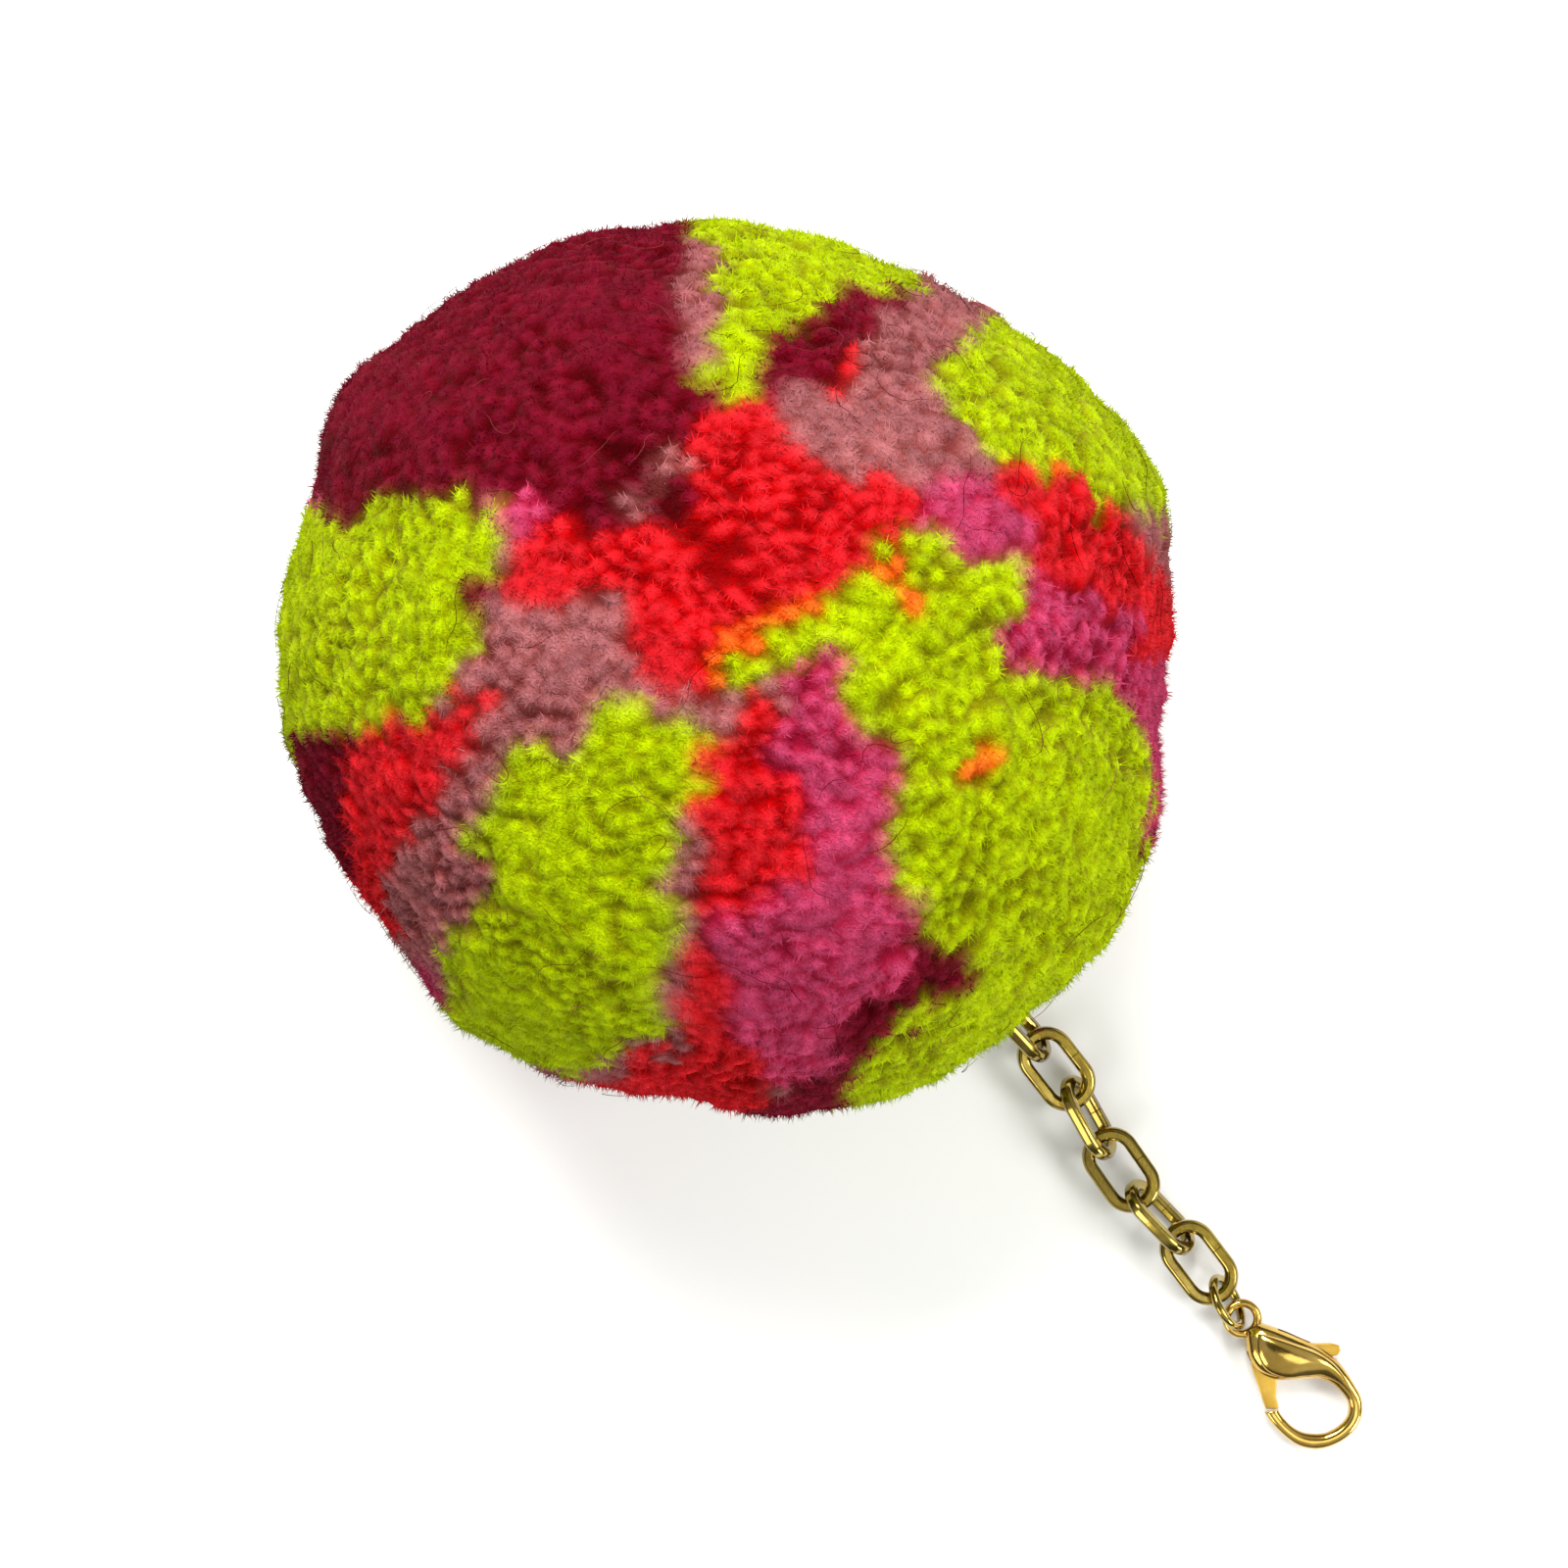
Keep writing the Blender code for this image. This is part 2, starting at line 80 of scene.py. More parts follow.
# Worsted acrylic yarn, spun, dyed and cut: it gives the eye matte, soft-edged ends, with painted shade
# between
# them. Each row of colours: deep between the ends (painted shade), on their sides, and on their cut tips
# (painted light).
yarnColours = {
    "yellow": ("#727200", "#889000", "#A6BE00"),
    "red": ("#820002", "#A60002", "#CA1E26"),
    "burgundy": ("#440004", "#540008", "#6E0C22"),
    "dusty": ("#682A28", "#7E3C3A", "#9C5C5E"),
    "orchid": ("#840C28", "#9A1838", "#B43C60"),
    "orange": ("#A82A00", "#D43604", "#EE6420"),
}
yarn = {
    "depths": (0.05, 0.55, 1.0),  # where the three colours lie, from the gaps to the tips
    "surface": {"Roughness": 0.92, "IOR": 1.47, "Specular IOR Level": 0.02},  # acrylic hardly shines
    "bloom": {"weight": 0.08, "roughness": 0.45, "tint": "#C88080"},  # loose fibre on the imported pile
    "crimp": {"Scale": 1700.0, "Detail": 2.0, "Distortion": 1.6},  # 0.6 mm
    "crimpValue": (0.84, 1.13),
    "endValue": (0.80, 1.12),  # no two ends are quite as light
    "crimpStrength": 0.8,
    "crimpDepth": 0.0007,  # m
}


def makeYarn(name, stops=None):
    material, tree, shader = startMaterial(name, yarn["surface"])
    if stops:
        depth = addNode(tree, "ShaderNodeAttribute", {"attribute_name": "pileDepth"})
        colour = addNode(tree, "ShaderNodeValToRGB", links={"Fac": depth.outputs["Fac"]})
        setStops(colour, stops)
    else:
        colour = addNode(tree, "ShaderNodeAttribute", {"attribute_name": "yarnColour"})
    shade = addNode(tree, "ShaderNodeAttribute", {"attribute_name": "endShade"})
    place = addNode(tree, "ShaderNodeTexCoord")
    crimp = addNode(tree, "ShaderNodeTexNoise", yarn["crimp"], {"Vector": place.outputs["Object"]})
    darkEnd, lightEnd = yarn["endValue"]
    endValue = addNode(tree, "ShaderNodeMapRange", {"To Min": darkEnd, "To Max": lightEnd},
                       {"Value": shade.outputs["Fac"]})
    darkCrimp, lightCrimp = yarn["crimpValue"]
    crimpRange = {"From Min": 0.3, "From Max": 0.7, "To Min": darkCrimp, "To Max": lightCrimp}
    crimpValue = addNode(tree, "ShaderNodeMapRange", crimpRange, {"Value": crimp.outputs["Fac"]})
    value = addNode(tree, "ShaderNodeMath", {"operation": "MULTIPLY"},
                    {0: endValue.outputs["Result"], 1: crimpValue.outputs["Result"]})
    tinted = addNode(tree, "ShaderNodeHueSaturation",
                     links={"Color": colour.outputs["Color"], "Value": value.outputs["Value"]})
    tree.links.new(tinted.outputs["Color"], shader.inputs["Base Color"])
    if not stops:
        shader.inputs["Sheen Weight"].default_value = yarn["bloom"]["weight"]
        shader.inputs["Sheen Roughness"].default_value = yarn["bloom"]["roughness"]
        shader.inputs["Sheen Tint"].default_value = hexToLinear(yarn["bloom"]["tint"])
        bumps = {"Strength": yarn["crimpStrength"], "Distance": yarn["crimpDepth"]}
        bump = addNode(tree, "ShaderNodeBump", bumps, {"Height": crimp.outputs["Fac"]})
        tree.links.new(bump.outputs["Normal"], shader.inputs["Normal"])
    return material


def meshFromTriangles(name, points, triangles, fields, material, facing=None):
    mesh = bpy.data.meshes.new(name)
    mesh.vertices.add(len(points))
    mesh.vertices.foreach_set("co", np.asarray(points * mm, dtype=np.float32).ravel())
    mesh.loops.add(len(triangles) * 3)
    mesh.loops.foreach_set("vertex_index", np.asarray(triangles, dtype=np.int32).ravel())
    mesh.polygons.add(len(triangles))
    mesh.polygons.foreach_set("loop_start", np.arange(0, len(triangles) * 3, 3, dtype=np.int32))
    mesh.update(calc_edges=True)
    for fieldName, values in fields.items():
        layer = mesh.attributes.new(fieldName, "FLOAT", "POINT")
        layer.data.foreach_set("value", np.asarray(values, dtype=np.float32).ravel())
    mesh.shade_smooth()
    if facing is not None:
        mesh.normals_split_custom_set_from_vertices(facing)
    mesh.materials.append(material)
    piece = bpy.data.objects.new(name, mesh)
    bpy.context.scene.collection.objects.link(piece)
    return piece


# The ball of yarn, in mm; how far ends and clumps wander is in parts of its radius
ball = {
    "centre": (0.0, 0.0, 50.0),  # it rests on a small flat spot at z = 0
    "radius": 53.5,
    "rimReach": (  # how far the pile reaches round its rim, every 15 degrees from the chain
        55.4, 56.3, 55.2, 52.5, 54.0, 56.8, 54.7, 52.7, 51.9, 52.6, 53.0, 54.0,
        54.2, 55.7, 52.2, 52.6, 52.3, 50.9, 50.5, 52.4, 52.5, 51.5, 53.9, 55.1,
    ),
    "trimmed": 0.45,  # how far within that reach the ends are cut
    "chainDip": 38.57,  # degrees below level at which the chain goes in
    "endCount": 7200,  # cut yarn ends, about 2.4 mm apart
    "endWander": 0.040,
    "endSize": (0.74, 1.26),
    "clumpCount": 1050,  # ends lie together in clumps
    "clumpWander": 0.045,
    "clumpPull": 0.06,  # draws ends towards their clump's middle
    "clumpSplay": 4.0,  # and opens them like a brush
    "clumpRise": 70.0,  # its middle stands out
    "clumpRest": 0.25,
    # the ends at a clump's edge are darker: painted shade where the clump falls away
    "clumpShade": 60.0,
    "gridSteps": 126,  # of each side of the cube that is blown up to the pile, 0.6 mm apart
    "domeFall": 0.80,  # an end falls off by this, times the square of the distance from its middle
    "domeDepth": 2.2,  # but never by more than this
    "domeReach": 1.9,  # square of the distance at which it shows its darkest colour, the painted shade of the creases
    "domeBlend": 7.0,
    "colourBlend": 2.2,
    "neighbours": 5,  # ends that shape each place of the pile
    "leanStretch": 1.1,  # an end that lies over shows its side
    "mostShade": 1.15,  # ends draw their shade up to this, and what passes 1 counts as 1
    "relief": {"middle": 0.86, "swing": 0.40, "size": 24.0, "limits": (0.35, 1.25),
               "rimLoss": 0.30, "rimRadius": 50.0, "rimPower": 3},  # ends look softer towards the rim
    "trimDepth": 0.30,  # the shears' unevenness
    "lumpDepth": 0.27,
    "lumpSize": 9.0,
    "leanNoise": 0.26,
    "leanSize": 17.0,
    "leanScatter": 0.20,
    "whorlPull": 0.55,
    "whorlSize": 18.0,
    "partingPull": 0.35,
    "partingSpread": 2.2,  # the ends beside a parting lean away, out to this many of its widths
    # the ends in a parting are darker: painted shade in its hollow
    "partingShade": 0.25,
    "pit": {"depth": 12.0, "radius": 7.4, "edge": 1.8, "bare": 7.0, "shade": 0.7},  # the chain goes in here
    "underside": -0.2,  # directions lower than this meet the table
    "endLift": 0.35,  # the lowest ends stand this far over it
    "pileLift": 0.12,
    "seed": 11,
}
fibre = {
    "perEnd": 24,
    "reach": 1.40,  # how far from an end's middle its fibres spread
    "sunk": 0.10,
    "tilt": (0.25, 1.25),  # radians
    "swing": 1.1,
    "length": (0.7, 1.7),
    "taper": 0.3,  # outer ones are shorter
    "width": 0.085,  # a few fibres together; single ones are too fine to show
    "widthSpread": (0.7, 1.2),
    "depthFall": 0.85,  # outer ones are darker: painted shade
    "depthScatter": 0.12,
    # fibre tips are lighter: painted light
    "tipLight": 0.2,
    "roundness": 0.65,  # they are lit as the soft end that they belong to
    "lean": 0.5,
    "tableGap": (0.05, 0.10),  # the table stops them
    "mostEnds": 1900,  # keeps each piece under 200,000 triangles
}

view = {
    "camera": (15.4, -2.9, 450.0),  # mm, straight above
    "right": (0.629, 0.777, 0.0),
    "up": (-0.777, 0.629, 0.0),
    "pictureMiddle": 800.0,  # in picture points
    "tableScale": 7.6,  # picture points a millimetre on the table
    "chartScale": 8.55,  # and at the ball's widest
    "ballInPicture": (737.0, 682.0),
    "rimAngle": 82.3,  # degrees from the camera at which the ball's rim is seen
    "twist": 0.7,  # below the rim the patches run on, turned by this much of each degree
    "fold": 0.72,  # and narrowed by this much
    "overRim": {"from": 30.0, "span": 23.0, "draw": 0.10},  # near the rim they are drawn outwards
}

# Patches of colour seen from above, charted as ovals; later ones lie over earlier ones.
# Each oval: right and up in mm from the ball's middle, half length, half width, turn in degrees
patchChart = (
    ("dusty", (
        (-22.5, -0.9, 12.3, 8.8, 30), (-32.2, -21.4, 5.1, 14.0, -22), (19.6, 30.1, 11.1, 7.3, 0),
        (48.3, 10.8, 4.0, 11.7, 18), (-16.0, -44.9, 7.5, 3.5, -20), (-0.2, -4.4, 7.0, 2.8, 0),
    )),
    ("burgundy", (
        (-17.2, 35.9, 17.5, 15.0, 0), (-34.7, 27.1, 13.1, 9.6, 40), (-11.3, 23.6, 7.3, 6.4, 0),
        (-7.6, 44.7, 5.6, 8.8, 0), (-41.2, 22.5, 7.0, 7.0, 0), (-21.3, 23.6, 10.5, 4.9, 0),
        (10.3, 38.6, 14.6, 3.0, 34), (1.3, 33.2, 5.1, 3.5, 30), (-31.7, 4.9, 5.6, 1.8, 82),
        (-27.7, 11.3, 3.0, 1.6, 50), (-42.7, -6.5, 6.8, 1.8, 20), (-46.4, -15.6, 8.7, 3.5, -72),
        (-40.4, -4.7, 5.8, 2.6, 20), (9.1, -49.8, 7.3, 3.3, 10),
    )),
    ("dusty", (
        (-2.5, 41.2, 8.2, 2.0, 88), (-11.3, 20.7, 3.7, 1.2, -35), (-20.7, 17.5, 2.8, 0.8, 12),
        (-6.4, 25.0, 2.8, 0.9, 30),
    )),
    ("orchid", (
        (-25.4, 18.4, 4.4, 1.8, -10), (-45.3, 15.7, 1.8, 3.7, 0), (-35.9, -36.0, 4.0, 2.1, -35),
        (-31.8, -38.9, 3.5, 2.1, -35),
    )),
    ("yellow", (
        (-42.3, 3.7, 12.3, 10.3, 20), (-49.9, -2.1, 10.8, 4.0, 88), (-33.3, 15.7, 6.1, 4.4, -10),
        (-47.0, 12.5, 4.0, 4.9, 0), (-38.2, 14.3, 7.0, 4.4, 20), (6.2, 47.4, 9.1, 5.1, -5),
        (1.8, 38.8, 6.4, 3.3, 72), (15.6, 46.2, 7.7, 2.7, -16), (9.9, 43.3, 5.8, 3.0, 10),
        (34.3, 29.7, 9.8, 6.1, -38), (45.4, 21.9, 10.5, 4.7, -50), (50.9, 14.3, 4.9, 1.9, -72),
        (30.2, 34.7, 3.5, 2.6, 0), (-17.8, -20.8, 11.5, 11.5, 0), (-19.5, -35.4, 10.8, 9.1, 0),
        (-10.2, -6.5, 4.2, 3.3, 0), (-3.7, -7.4, 6.8, 2.1, -5), (-11.3, -33.1, 4.7, 9.1, 0),
        (-9.6, -13.8, 5.1, 5.8, 0), (-27.7, -40.7, 3.5, 3.7, 0),
    )),
    ("red", (
        (2.9, 24.8, 7.3, 6.5, 0), (-14.9, 13.3, 10.8, 4.2, 3), (-21.3, 9.6, 4.9, 3.0, 0),
        (-0.8, 13.1, 9.8, 6.8, 0), (14.6, 17.2, 10.3, 5.4, 14), (6.2, 10.8, 11.2, 5.6, 12),
        (-5.5, 4.9, 6.3, 7.7, 0), (-1.8, -0.9, 2.6, 1.6, 0), (3.9, -13.2, 7.7, 6.1, 90),
        (6.0, -22.0, 6.3, 6.5, 0), (-1.1, -22.0, 3.5, 11.7, 0), (-1.8, -37.2, 4.2, 12.9, 0),
        (-7.6, -48.0, 11.0, 3.5, -4), (0.4, -45.4, 4.0, 5.4, 0), (3.6, -4.4, 1.6, 2.1, 0),
        (-38.5, -13.2, 5.4, 7.3, 0), (-33.8, -7.7, 6.5, 2.6, 30), (-40.4, -23.2, 2.3, 5.8, 0),
        (14.6, 34.7, 2.3, 1.4, 40), (30.8, 42.3, 4.0, 1.5, -25), (51.8, -1.5, 1.4, 3.0, 0),
        (-38.5, -31.3, 1.4, 4.0, 0), (-28.9, -4.4, 1.2, 1.9, 0),
    )),
    ("orchid", (
        (13.2, -6.5, 6.5, 7.7, 0), (15.8, -18.5, 5.4, 11.7, 0), (11.5, -35.4, 10.8, 9.1, 20),
        (16.7, -26.7, 5.8, 7.0, 0), (2.7, -32.5, 3.0, 3.0, 0), (29.0, 16.0, 7.3, 4.0, -40),
        (37.2, 3.2, 13.8, 6.1, -48), (47.1, -9.1, 11.2, 4.7, -70), (49.5, -20.8, 5.4, 2.1, 80),
    )),
    ("burgundy", (
        (48.1, -23.7, 7.7, 3.3, 78), (15.8, -42.1, 14.0, 2.8, 42), (23.5, -33.5, 4.7, 1.9, 20),
    )),
    ("red", (
        (40.7, 13.3, 12.2, 2.9, -48), (48.3, 3.7, 3.7, 2.3, -60),
    )),
    ("yellow", (
        (21.4, 12.3, 5.4, 2.3, 25), (13.2, 5.8, 7.3, 2.0, 30), (3.6, 1.6, 5.4, 2.9, 25),
        (25.5, 4.9, 9.1, 9.1, 0), (22.0, -2.1, 6.1, 7.7, 0), (30.8, 9.6, 4.7, 3.5, 0),
        (34.9, -9.1, 11.5, 8.4, 0), (32.5, -20.8, 12.6, 13.1, 0), (40.7, -26.7, 5.6, 7.7, 0),
        (26.1, -44.4, 13.1, 8.4, 18), (38.0, -37.8, 9.6, 7.7, 40), (18.5, -49.8, 6.5, 3.5, 5),
    )),
    ("dusty", (
        (-4.6, -26.1, 1.3, 13.1, -3), (-5.5, -39.5, 1.6, 4.7, 10),
    )),
    ("orange", (
        (22.7, 8.7, 2.1, 2.0, 0), (29.8, -11.7, 3.3, 1.6, 30), (7.4, 6.1, 9.1, 1.6, 28),
        (35.4, 21.5, 1.6, 0.9, 0), (19.1, 10.8, 4.7, 0.9, 25), (0.9, -2.1, 1.9, 1.2, 20),
    )),
)

# Partings where the pile lies open: start and end in mm as above, width and depth
partings = (
    (-13.7, 26.8, -8.7, 22.1, 1.6, 3.0),
    (-8.7, 22.1, -2.3, 15.1, 1.8, 3.6),
    (-2.3, 15.1, 1.2, 11.1, 1.6, 2.6),
    (-8.7, 22.1, -12.5, 18.5, 1.2, 2.0),
    (3.9, -10.5, 2.7, -17.0, 2.6, 1.8),
)
whorl = (-2.6, 14.5)  # the ends fan out from here


def unit(vectors):
    return vectors / np.linalg.norm(vectors, axis=-1, keepdims=True)


def smoothShare(share):
    return share * share * (3.0 - 2.0 * share)


def softNoise(points, size, seed):
    draw = np.random.default_rng(seed)
    count = 9
    waves = unit(draw.normal(size=(count, 3))) * draw.uniform(0.6, 1.5, (count, 1))
    phases = points @ waves.T * 2.0 * math.pi / size + draw.uniform(0.0, 6.28, count)
    return np.sin(phases).sum(axis=1) / math.sqrt(count)


def pileRadius(directions):
    reach = np.array(ball["rimReach"])
    count = len(reach)
    turn = np.degrees(np.arctan2(directions[:, 1], directions[:, 0])) % 360.0 / (360.0 / count)
    row = turn.astype(int)
    share = smoothShare(turn - row)
    rim = reach[row % count] * (1.0 - share) + reach[(row + 1) % count] * share - ball["radius"]
    level = directions[:, 0] ** 2 + directions[:, 1] ** 2
    return ball["radius"] + rim * level


def chartPlace(directions):
    eye = np.array(view["camera"])
    middle = np.array(ball["centre"])
    towards = unit(eye - middle)
    cosine = np.clip(directions @ towards, -1.0, 1.0)
    angle = np.degrees(np.arccos(cosine))
    sideways = directions - cosine[:, None] * towards
    sideways = sideways / np.maximum(np.linalg.norm(sideways, axis=1, keepdims=True), 1e-9)
    past = np.maximum(angle - view["rimAngle"], 0.0)
    twist = np.radians(past * view["twist"])[:, None]
    across = np.cross(towards, sideways)
    sideways = sideways * np.cos(twist) + across * np.sin(twist)
    folded = np.radians(np.where(past > 0.0, view["rimAngle"] - past * view["fold"], angle))[:, None]
    shown = towards * np.cos(folded) + sideways * np.sin(folded)
    place = middle + shown * ball["radius"]
    scale = view["tableScale"] * eye[2] / (eye[2] - place[:, 2])
    column = view["pictureMiddle"] + (place - eye) @ np.array(view["right"]) * scale
    row = view["pictureMiddle"] - (place - eye) @ np.array(view["up"]) * scale
    ballColumn, ballRow = view["ballInPicture"]
    chart = np.stack([column - ballColumn, ballRow - row], axis=1) / view["chartScale"]
    over = view["overRim"]
    outer = np.clip((np.linalg.norm(chart, axis=1, keepdims=True) - over["from"]) / over["span"], 0.0, 1.0)
    return chart * (1.0 - over["draw"] * smoothShare(outer))


# The borders between the patches, in mm: no border is a clean line
border = {
    "waveSize": 7.0,
    "wave": 0.7,
    "ragged": 0.35,
    "gap": 1.0,  # a gap closes where a patch is this near
}


def chartColours(places, draw):
    names = np.full(len(places), "dusty", dtype=object)
    flat = np.c_[places, np.zeros(len(places))]
    wavy = np.stack([softNoise(flat, border["waveSize"], s) for s in (21, 22)], axis=1)
    ragged = places + wavy * border["wave"] + draw.normal(0.0, border["ragged"], places.shape)
    charted = np.zeros(len(places), dtype=bool)
    closest, nearby = np.full(len(places), border["gap"]), names.copy()
    ovals = [(colour, *oval) for colour, group in patchChart for oval in group]
    for colour, right, up, halfLength, halfWidth, turn in ovals:
        angle = math.radians(turn)
        offset = ragged - (right, up)
        along = offset[:, 0] * math.cos(angle) + offset[:, 1] * math.sin(angle)
        across = offset[:, 1] * math.cos(angle) - offset[:, 0] * math.sin(angle)
        inside = np.hypot(along / halfLength, across / halfWidth)
        slope = np.hypot(along / halfLength ** 2, across / halfWidth ** 2) / np.maximum(inside, 1e-6)
        outside = (inside - 1.0) / np.maximum(slope, 1e-6)
        names[inside < 1.0] = colour
        charted |= inside < 1.0
        nearer = outside < closest
        closest[nearer], nearby[nearer] = outside[nearer], colour
    names[~charted] = nearby[~charted]
    return names


def nearestPlaces(wanted, places, count):
    tree = kdtree.KDTree(len(places))
    for index, place in enumerate(places):
        tree.insert(place, index)
    tree.balance()
    return np.array([[found[1] for found in tree.find_n(place, count)] for place in wanted])


def spreadDirections(count, wander, draw):
    index = np.arange(count) + 0.5
    polar = np.arccos(1.0 - 2.0 * index / count)
    turn = math.pi * (1.0 + 5.0 ** 0.5) * index
    level = np.sin(polar)
    even = np.stack([np.cos(turn) * level, np.sin(turn) * level, np.cos(polar)], axis=1)
    loose = unit(even + np.clip(draw.normal(0.0, 0.6, even.shape), -1.0, 1.0) * wander)
    spacing = math.sqrt(4.0 * math.pi / count * 1.155)  # as far apart as circles that are packed close
    rounds, neighbours, push = 4, 6, 0.3
    for _ in range(rounds):  # neighbours push each other apart, which leaves no rows and no gaps
        near = nearestPlaces(loose, loose, neighbours + 1)[:, 1:]
        offset = loose[:, None, :] - loose[near]
        distance = np.maximum(np.linalg.norm(offset, axis=2, keepdims=True), 1e-6)
        shove = (offset / distance * np.maximum(spacing - distance, 0.0)).sum(axis=1)
        loose = unit(loose + shove * push)
    return loose


def chainEntry():
    dip = math.radians(ball["chainDip"])
    return np.array([math.cos(dip), 0.0, -math.sin(dip)])


def besideChain(directions):
    entry = chainEntry()
    beside = np.linalg.norm(np.cross(directions, entry), axis=1) * ball["radius"]
    return beside, directions @ entry > 0.0


def restOnTable(directions, reach, lift):
    below = directions[:, 2] < ball["underside"]
    reach[below] = np.minimum(reach[below], (ball["centre"][2] - lift) / -directions[below, 2])
    return reach


def partingPull(places):
    depth = np.zeros(len(places))
    away = np.zeros(places.shape)
    for startRight, startUp, endRight, endUp, width, most in partings:
        start, run = np.array([startRight, startUp]), np.array([endRight - startRight, endUp - startUp])
        share = np.clip((places - start) @ run / (run @ run), 0.0, 1.0)
        offset = places - (start + share[:, None] * run)
        distance = np.linalg.norm(offset, axis=1)
        pull = np.exp(-(distance / width) ** 2)
        depth = np.maximum(depth, most * pull)
        reach = np.exp(-(distance / (width * ball["partingSpread"])) ** 2)
        away += offset / np.maximum(distance, 0.2)[:, None] * reach[:, None]
    return depth, away


def endAxes(directions, places, points, splay, away, seen, draw):
    fan = places - whorl
    distance = np.linalg.norm(fan, axis=1)
    fanPull = np.exp(-distance / ball["whorlSize"]) * seen
    fan = fan / np.maximum(distance[:, None], 1.0)
    inPicture = np.stack([np.array(view["right"]), np.array(view["up"])])
    lean = (fan * fanPull[:, None] * ball["whorlPull"] + away * ball["partingPull"]) @ inPicture
    lean += np.stack([softNoise(points, ball["leanSize"], s) for s in (5, 6, 7)], axis=1) * ball["leanNoise"]
    lean += draw.normal(0.0, ball["leanScatter"], directions.shape) + splay * ball["clumpSplay"]
    return unit(directions + lean)


def endRelief(points, places):
    relief = ball["relief"]
    swing = relief["swing"] * softNoise(points, relief["size"], 9)
    rim = np.clip(np.linalg.norm(places, axis=1) / relief["rimRadius"], 0.0, 1.0) ** relief["rimPower"]
    return np.clip(relief["middle"] + swing - relief["rimLoss"] * rim, *relief["limits"])


def layOutEnds():
    draw = np.random.default_rng(ball["seed"])
    directions = spreadDirections(ball["endCount"], ball["endWander"], draw)
    clumps = spreadDirections(ball["clumpCount"], ball["clumpWander"], draw)
    splay = directions - clumps[np.argmax(directions @ clumps.T, axis=1)]
    directions = unit(directions - splay * ball["clumpPull"])
    places = chartPlace(directions)
    names = chartColours(places, draw)
    dent, away = partingPull(places)
    seen = directions[:, 2] > 0.0
    dent, away = dent * seen, away * seen[:, None]
    points = directions * ball["radius"]
    fromClump = (splay ** 2).sum(axis=1)
    reach = pileRadius(directions) - ball["trimmed"]
    reach += softNoise(points, ball["lumpSize"], 3) * ball["lumpDepth"]
    reach += draw.uniform(-1.0, 1.0, len(reach)) * ball["trimDepth"] - dent
    reach += ball["clumpRest"] - fromClump * ball["clumpRise"]
    reach = restOnTable(directions, reach, ball["endLift"])
    axes = endAxes(directions, places, points, splay, away, seen, draw)
    lean = axes - directions * (axes * directions).sum(axis=1)[:, None]
    lying = np.linalg.norm(lean, axis=1)
    beside, ahead = besideChain(directions)
    # A random tone for each end, less painted shade at clump edges and in partings
    shade = draw.uniform(0.0, ball["mostShade"], len(names)) - fromClump * ball["clumpShade"]
    shade -= dent * ball["partingShade"]
    return {
        "directions": directions,
        "reach": reach,
        "names": names,
        "shade": np.clip(shade, 0.0, 1.0),
        "relief": endRelief(points, places),
        "lie": lean / np.maximum(lying, 1e-6)[:, None],  # the way in which an end leans
        "lying": lying,  # and how far
        "size": draw.uniform(*ball["endSize"], len(names)),
        "hasFibres": ~((beside < ball["pit"]["bare"]) & ahead),
        "tips": np.array(ball["centre"]) + directions * reach[:, None],
    }


def crossFrame(axes, draw):
    side = unit(np.cross(axes, unit(draw.normal(size=axes.shape))))
    return side, np.cross(axes, side)


def cubeSphere(steps):
    edge = np.tan(np.linspace(-1.0, 1.0, steps + 1) * math.pi / 4.0)
    across, up = np.meshgrid(edge, edge, indexing="ij")
    one = np.ones_like(across)
    corner = np.arange(steps * (steps + 1)).reshape(steps, steps + 1)[:, :-1]
    quads = np.stack([corner, corner + steps + 1, corner + steps + 2, corner + 1], axis=-1).reshape(-1, 4)
    sides = [(one, across, up), (-one, up, across), (up, one, across),
             (across, -one, up), (across, up, one), (up, across, -one)]
    points = np.concatenate([unit(np.stack(side, axis=-1).reshape(-1, 3)) for side in sides])
    quads = np.concatenate([quads + index * (steps + 1) ** 2 for index in range(6)])
    _, first, place = np.unique(np.round(points, 6), axis=0, return_index=True, return_inverse=True)
    return points[first], place.ravel()[quads]


def blendStages(stages, depth):
    lower, middle, upper = yarn["depths"]
    rise = np.clip((depth - lower) / (middle - lower), 0.0, 1.0)[:, None]
    crest = np.clip((depth - middle) / (upper - middle), 0.0, 1.0)[:, None]
    return stages[:, 0] * (1.0 - rise) + stages[:, 1] * (rise - crest) + stages[:, 2] * crest


def pileHeights(directions, ends):
    near = nearestPlaces(directions, ends["directions"], ball["neighbours"])
    offset = (directions[:, None, :] - ends["directions"][near]) * ball["radius"]
    along = (offset * ends["lie"][near]).sum(axis=2)
    stretch = 1.0 - 1.0 / (1.0 + ball["leanStretch"] * ends["lying"][near]) ** 2
    apart = (offset ** 2).sum(axis=2) - stretch * along ** 2
    fall = apart / ends["size"][near] ** 2 * ends["relief"][near]
    most = ball["domeDepth"]
    heights = ends["reach"][near] - most * (1.0 - np.exp(-ball["domeFall"] * fall / most))
    top = heights.max(axis=1)
    drop = heights - top[:, None]
    smooth = top + np.log(np.exp(drop * ball["domeBlend"]).sum(axis=1)) / ball["domeBlend"]
    rows, highest = np.arange(len(near)), heights.argmax(axis=1)
    best = near[rows, highest]
    # Painted shade and light: the deep colour towards an end's edge, the tip colour at its middle
    depth = np.clip(1.0 - fall[rows, highest] / ball["domeReach"], 0.0, 1.0)
    mixing = np.exp(drop * ball["colourBlend"])  # fibres of neighbours mix where ends touch
    mixing /= mixing.sum(axis=1, keepdims=True)
    order = list(yarnColours)
    palette = np.array([[hexToLinear(c)[:3] for c in yarnColours[name]] for name in order])
    own = np.array([order.index(name) for name in ends["names"]])[near]
    stages = (palette[own] * mixing[:, :, None, None]).sum(axis=1)
    return smooth, best, blendStages(stages, depth)


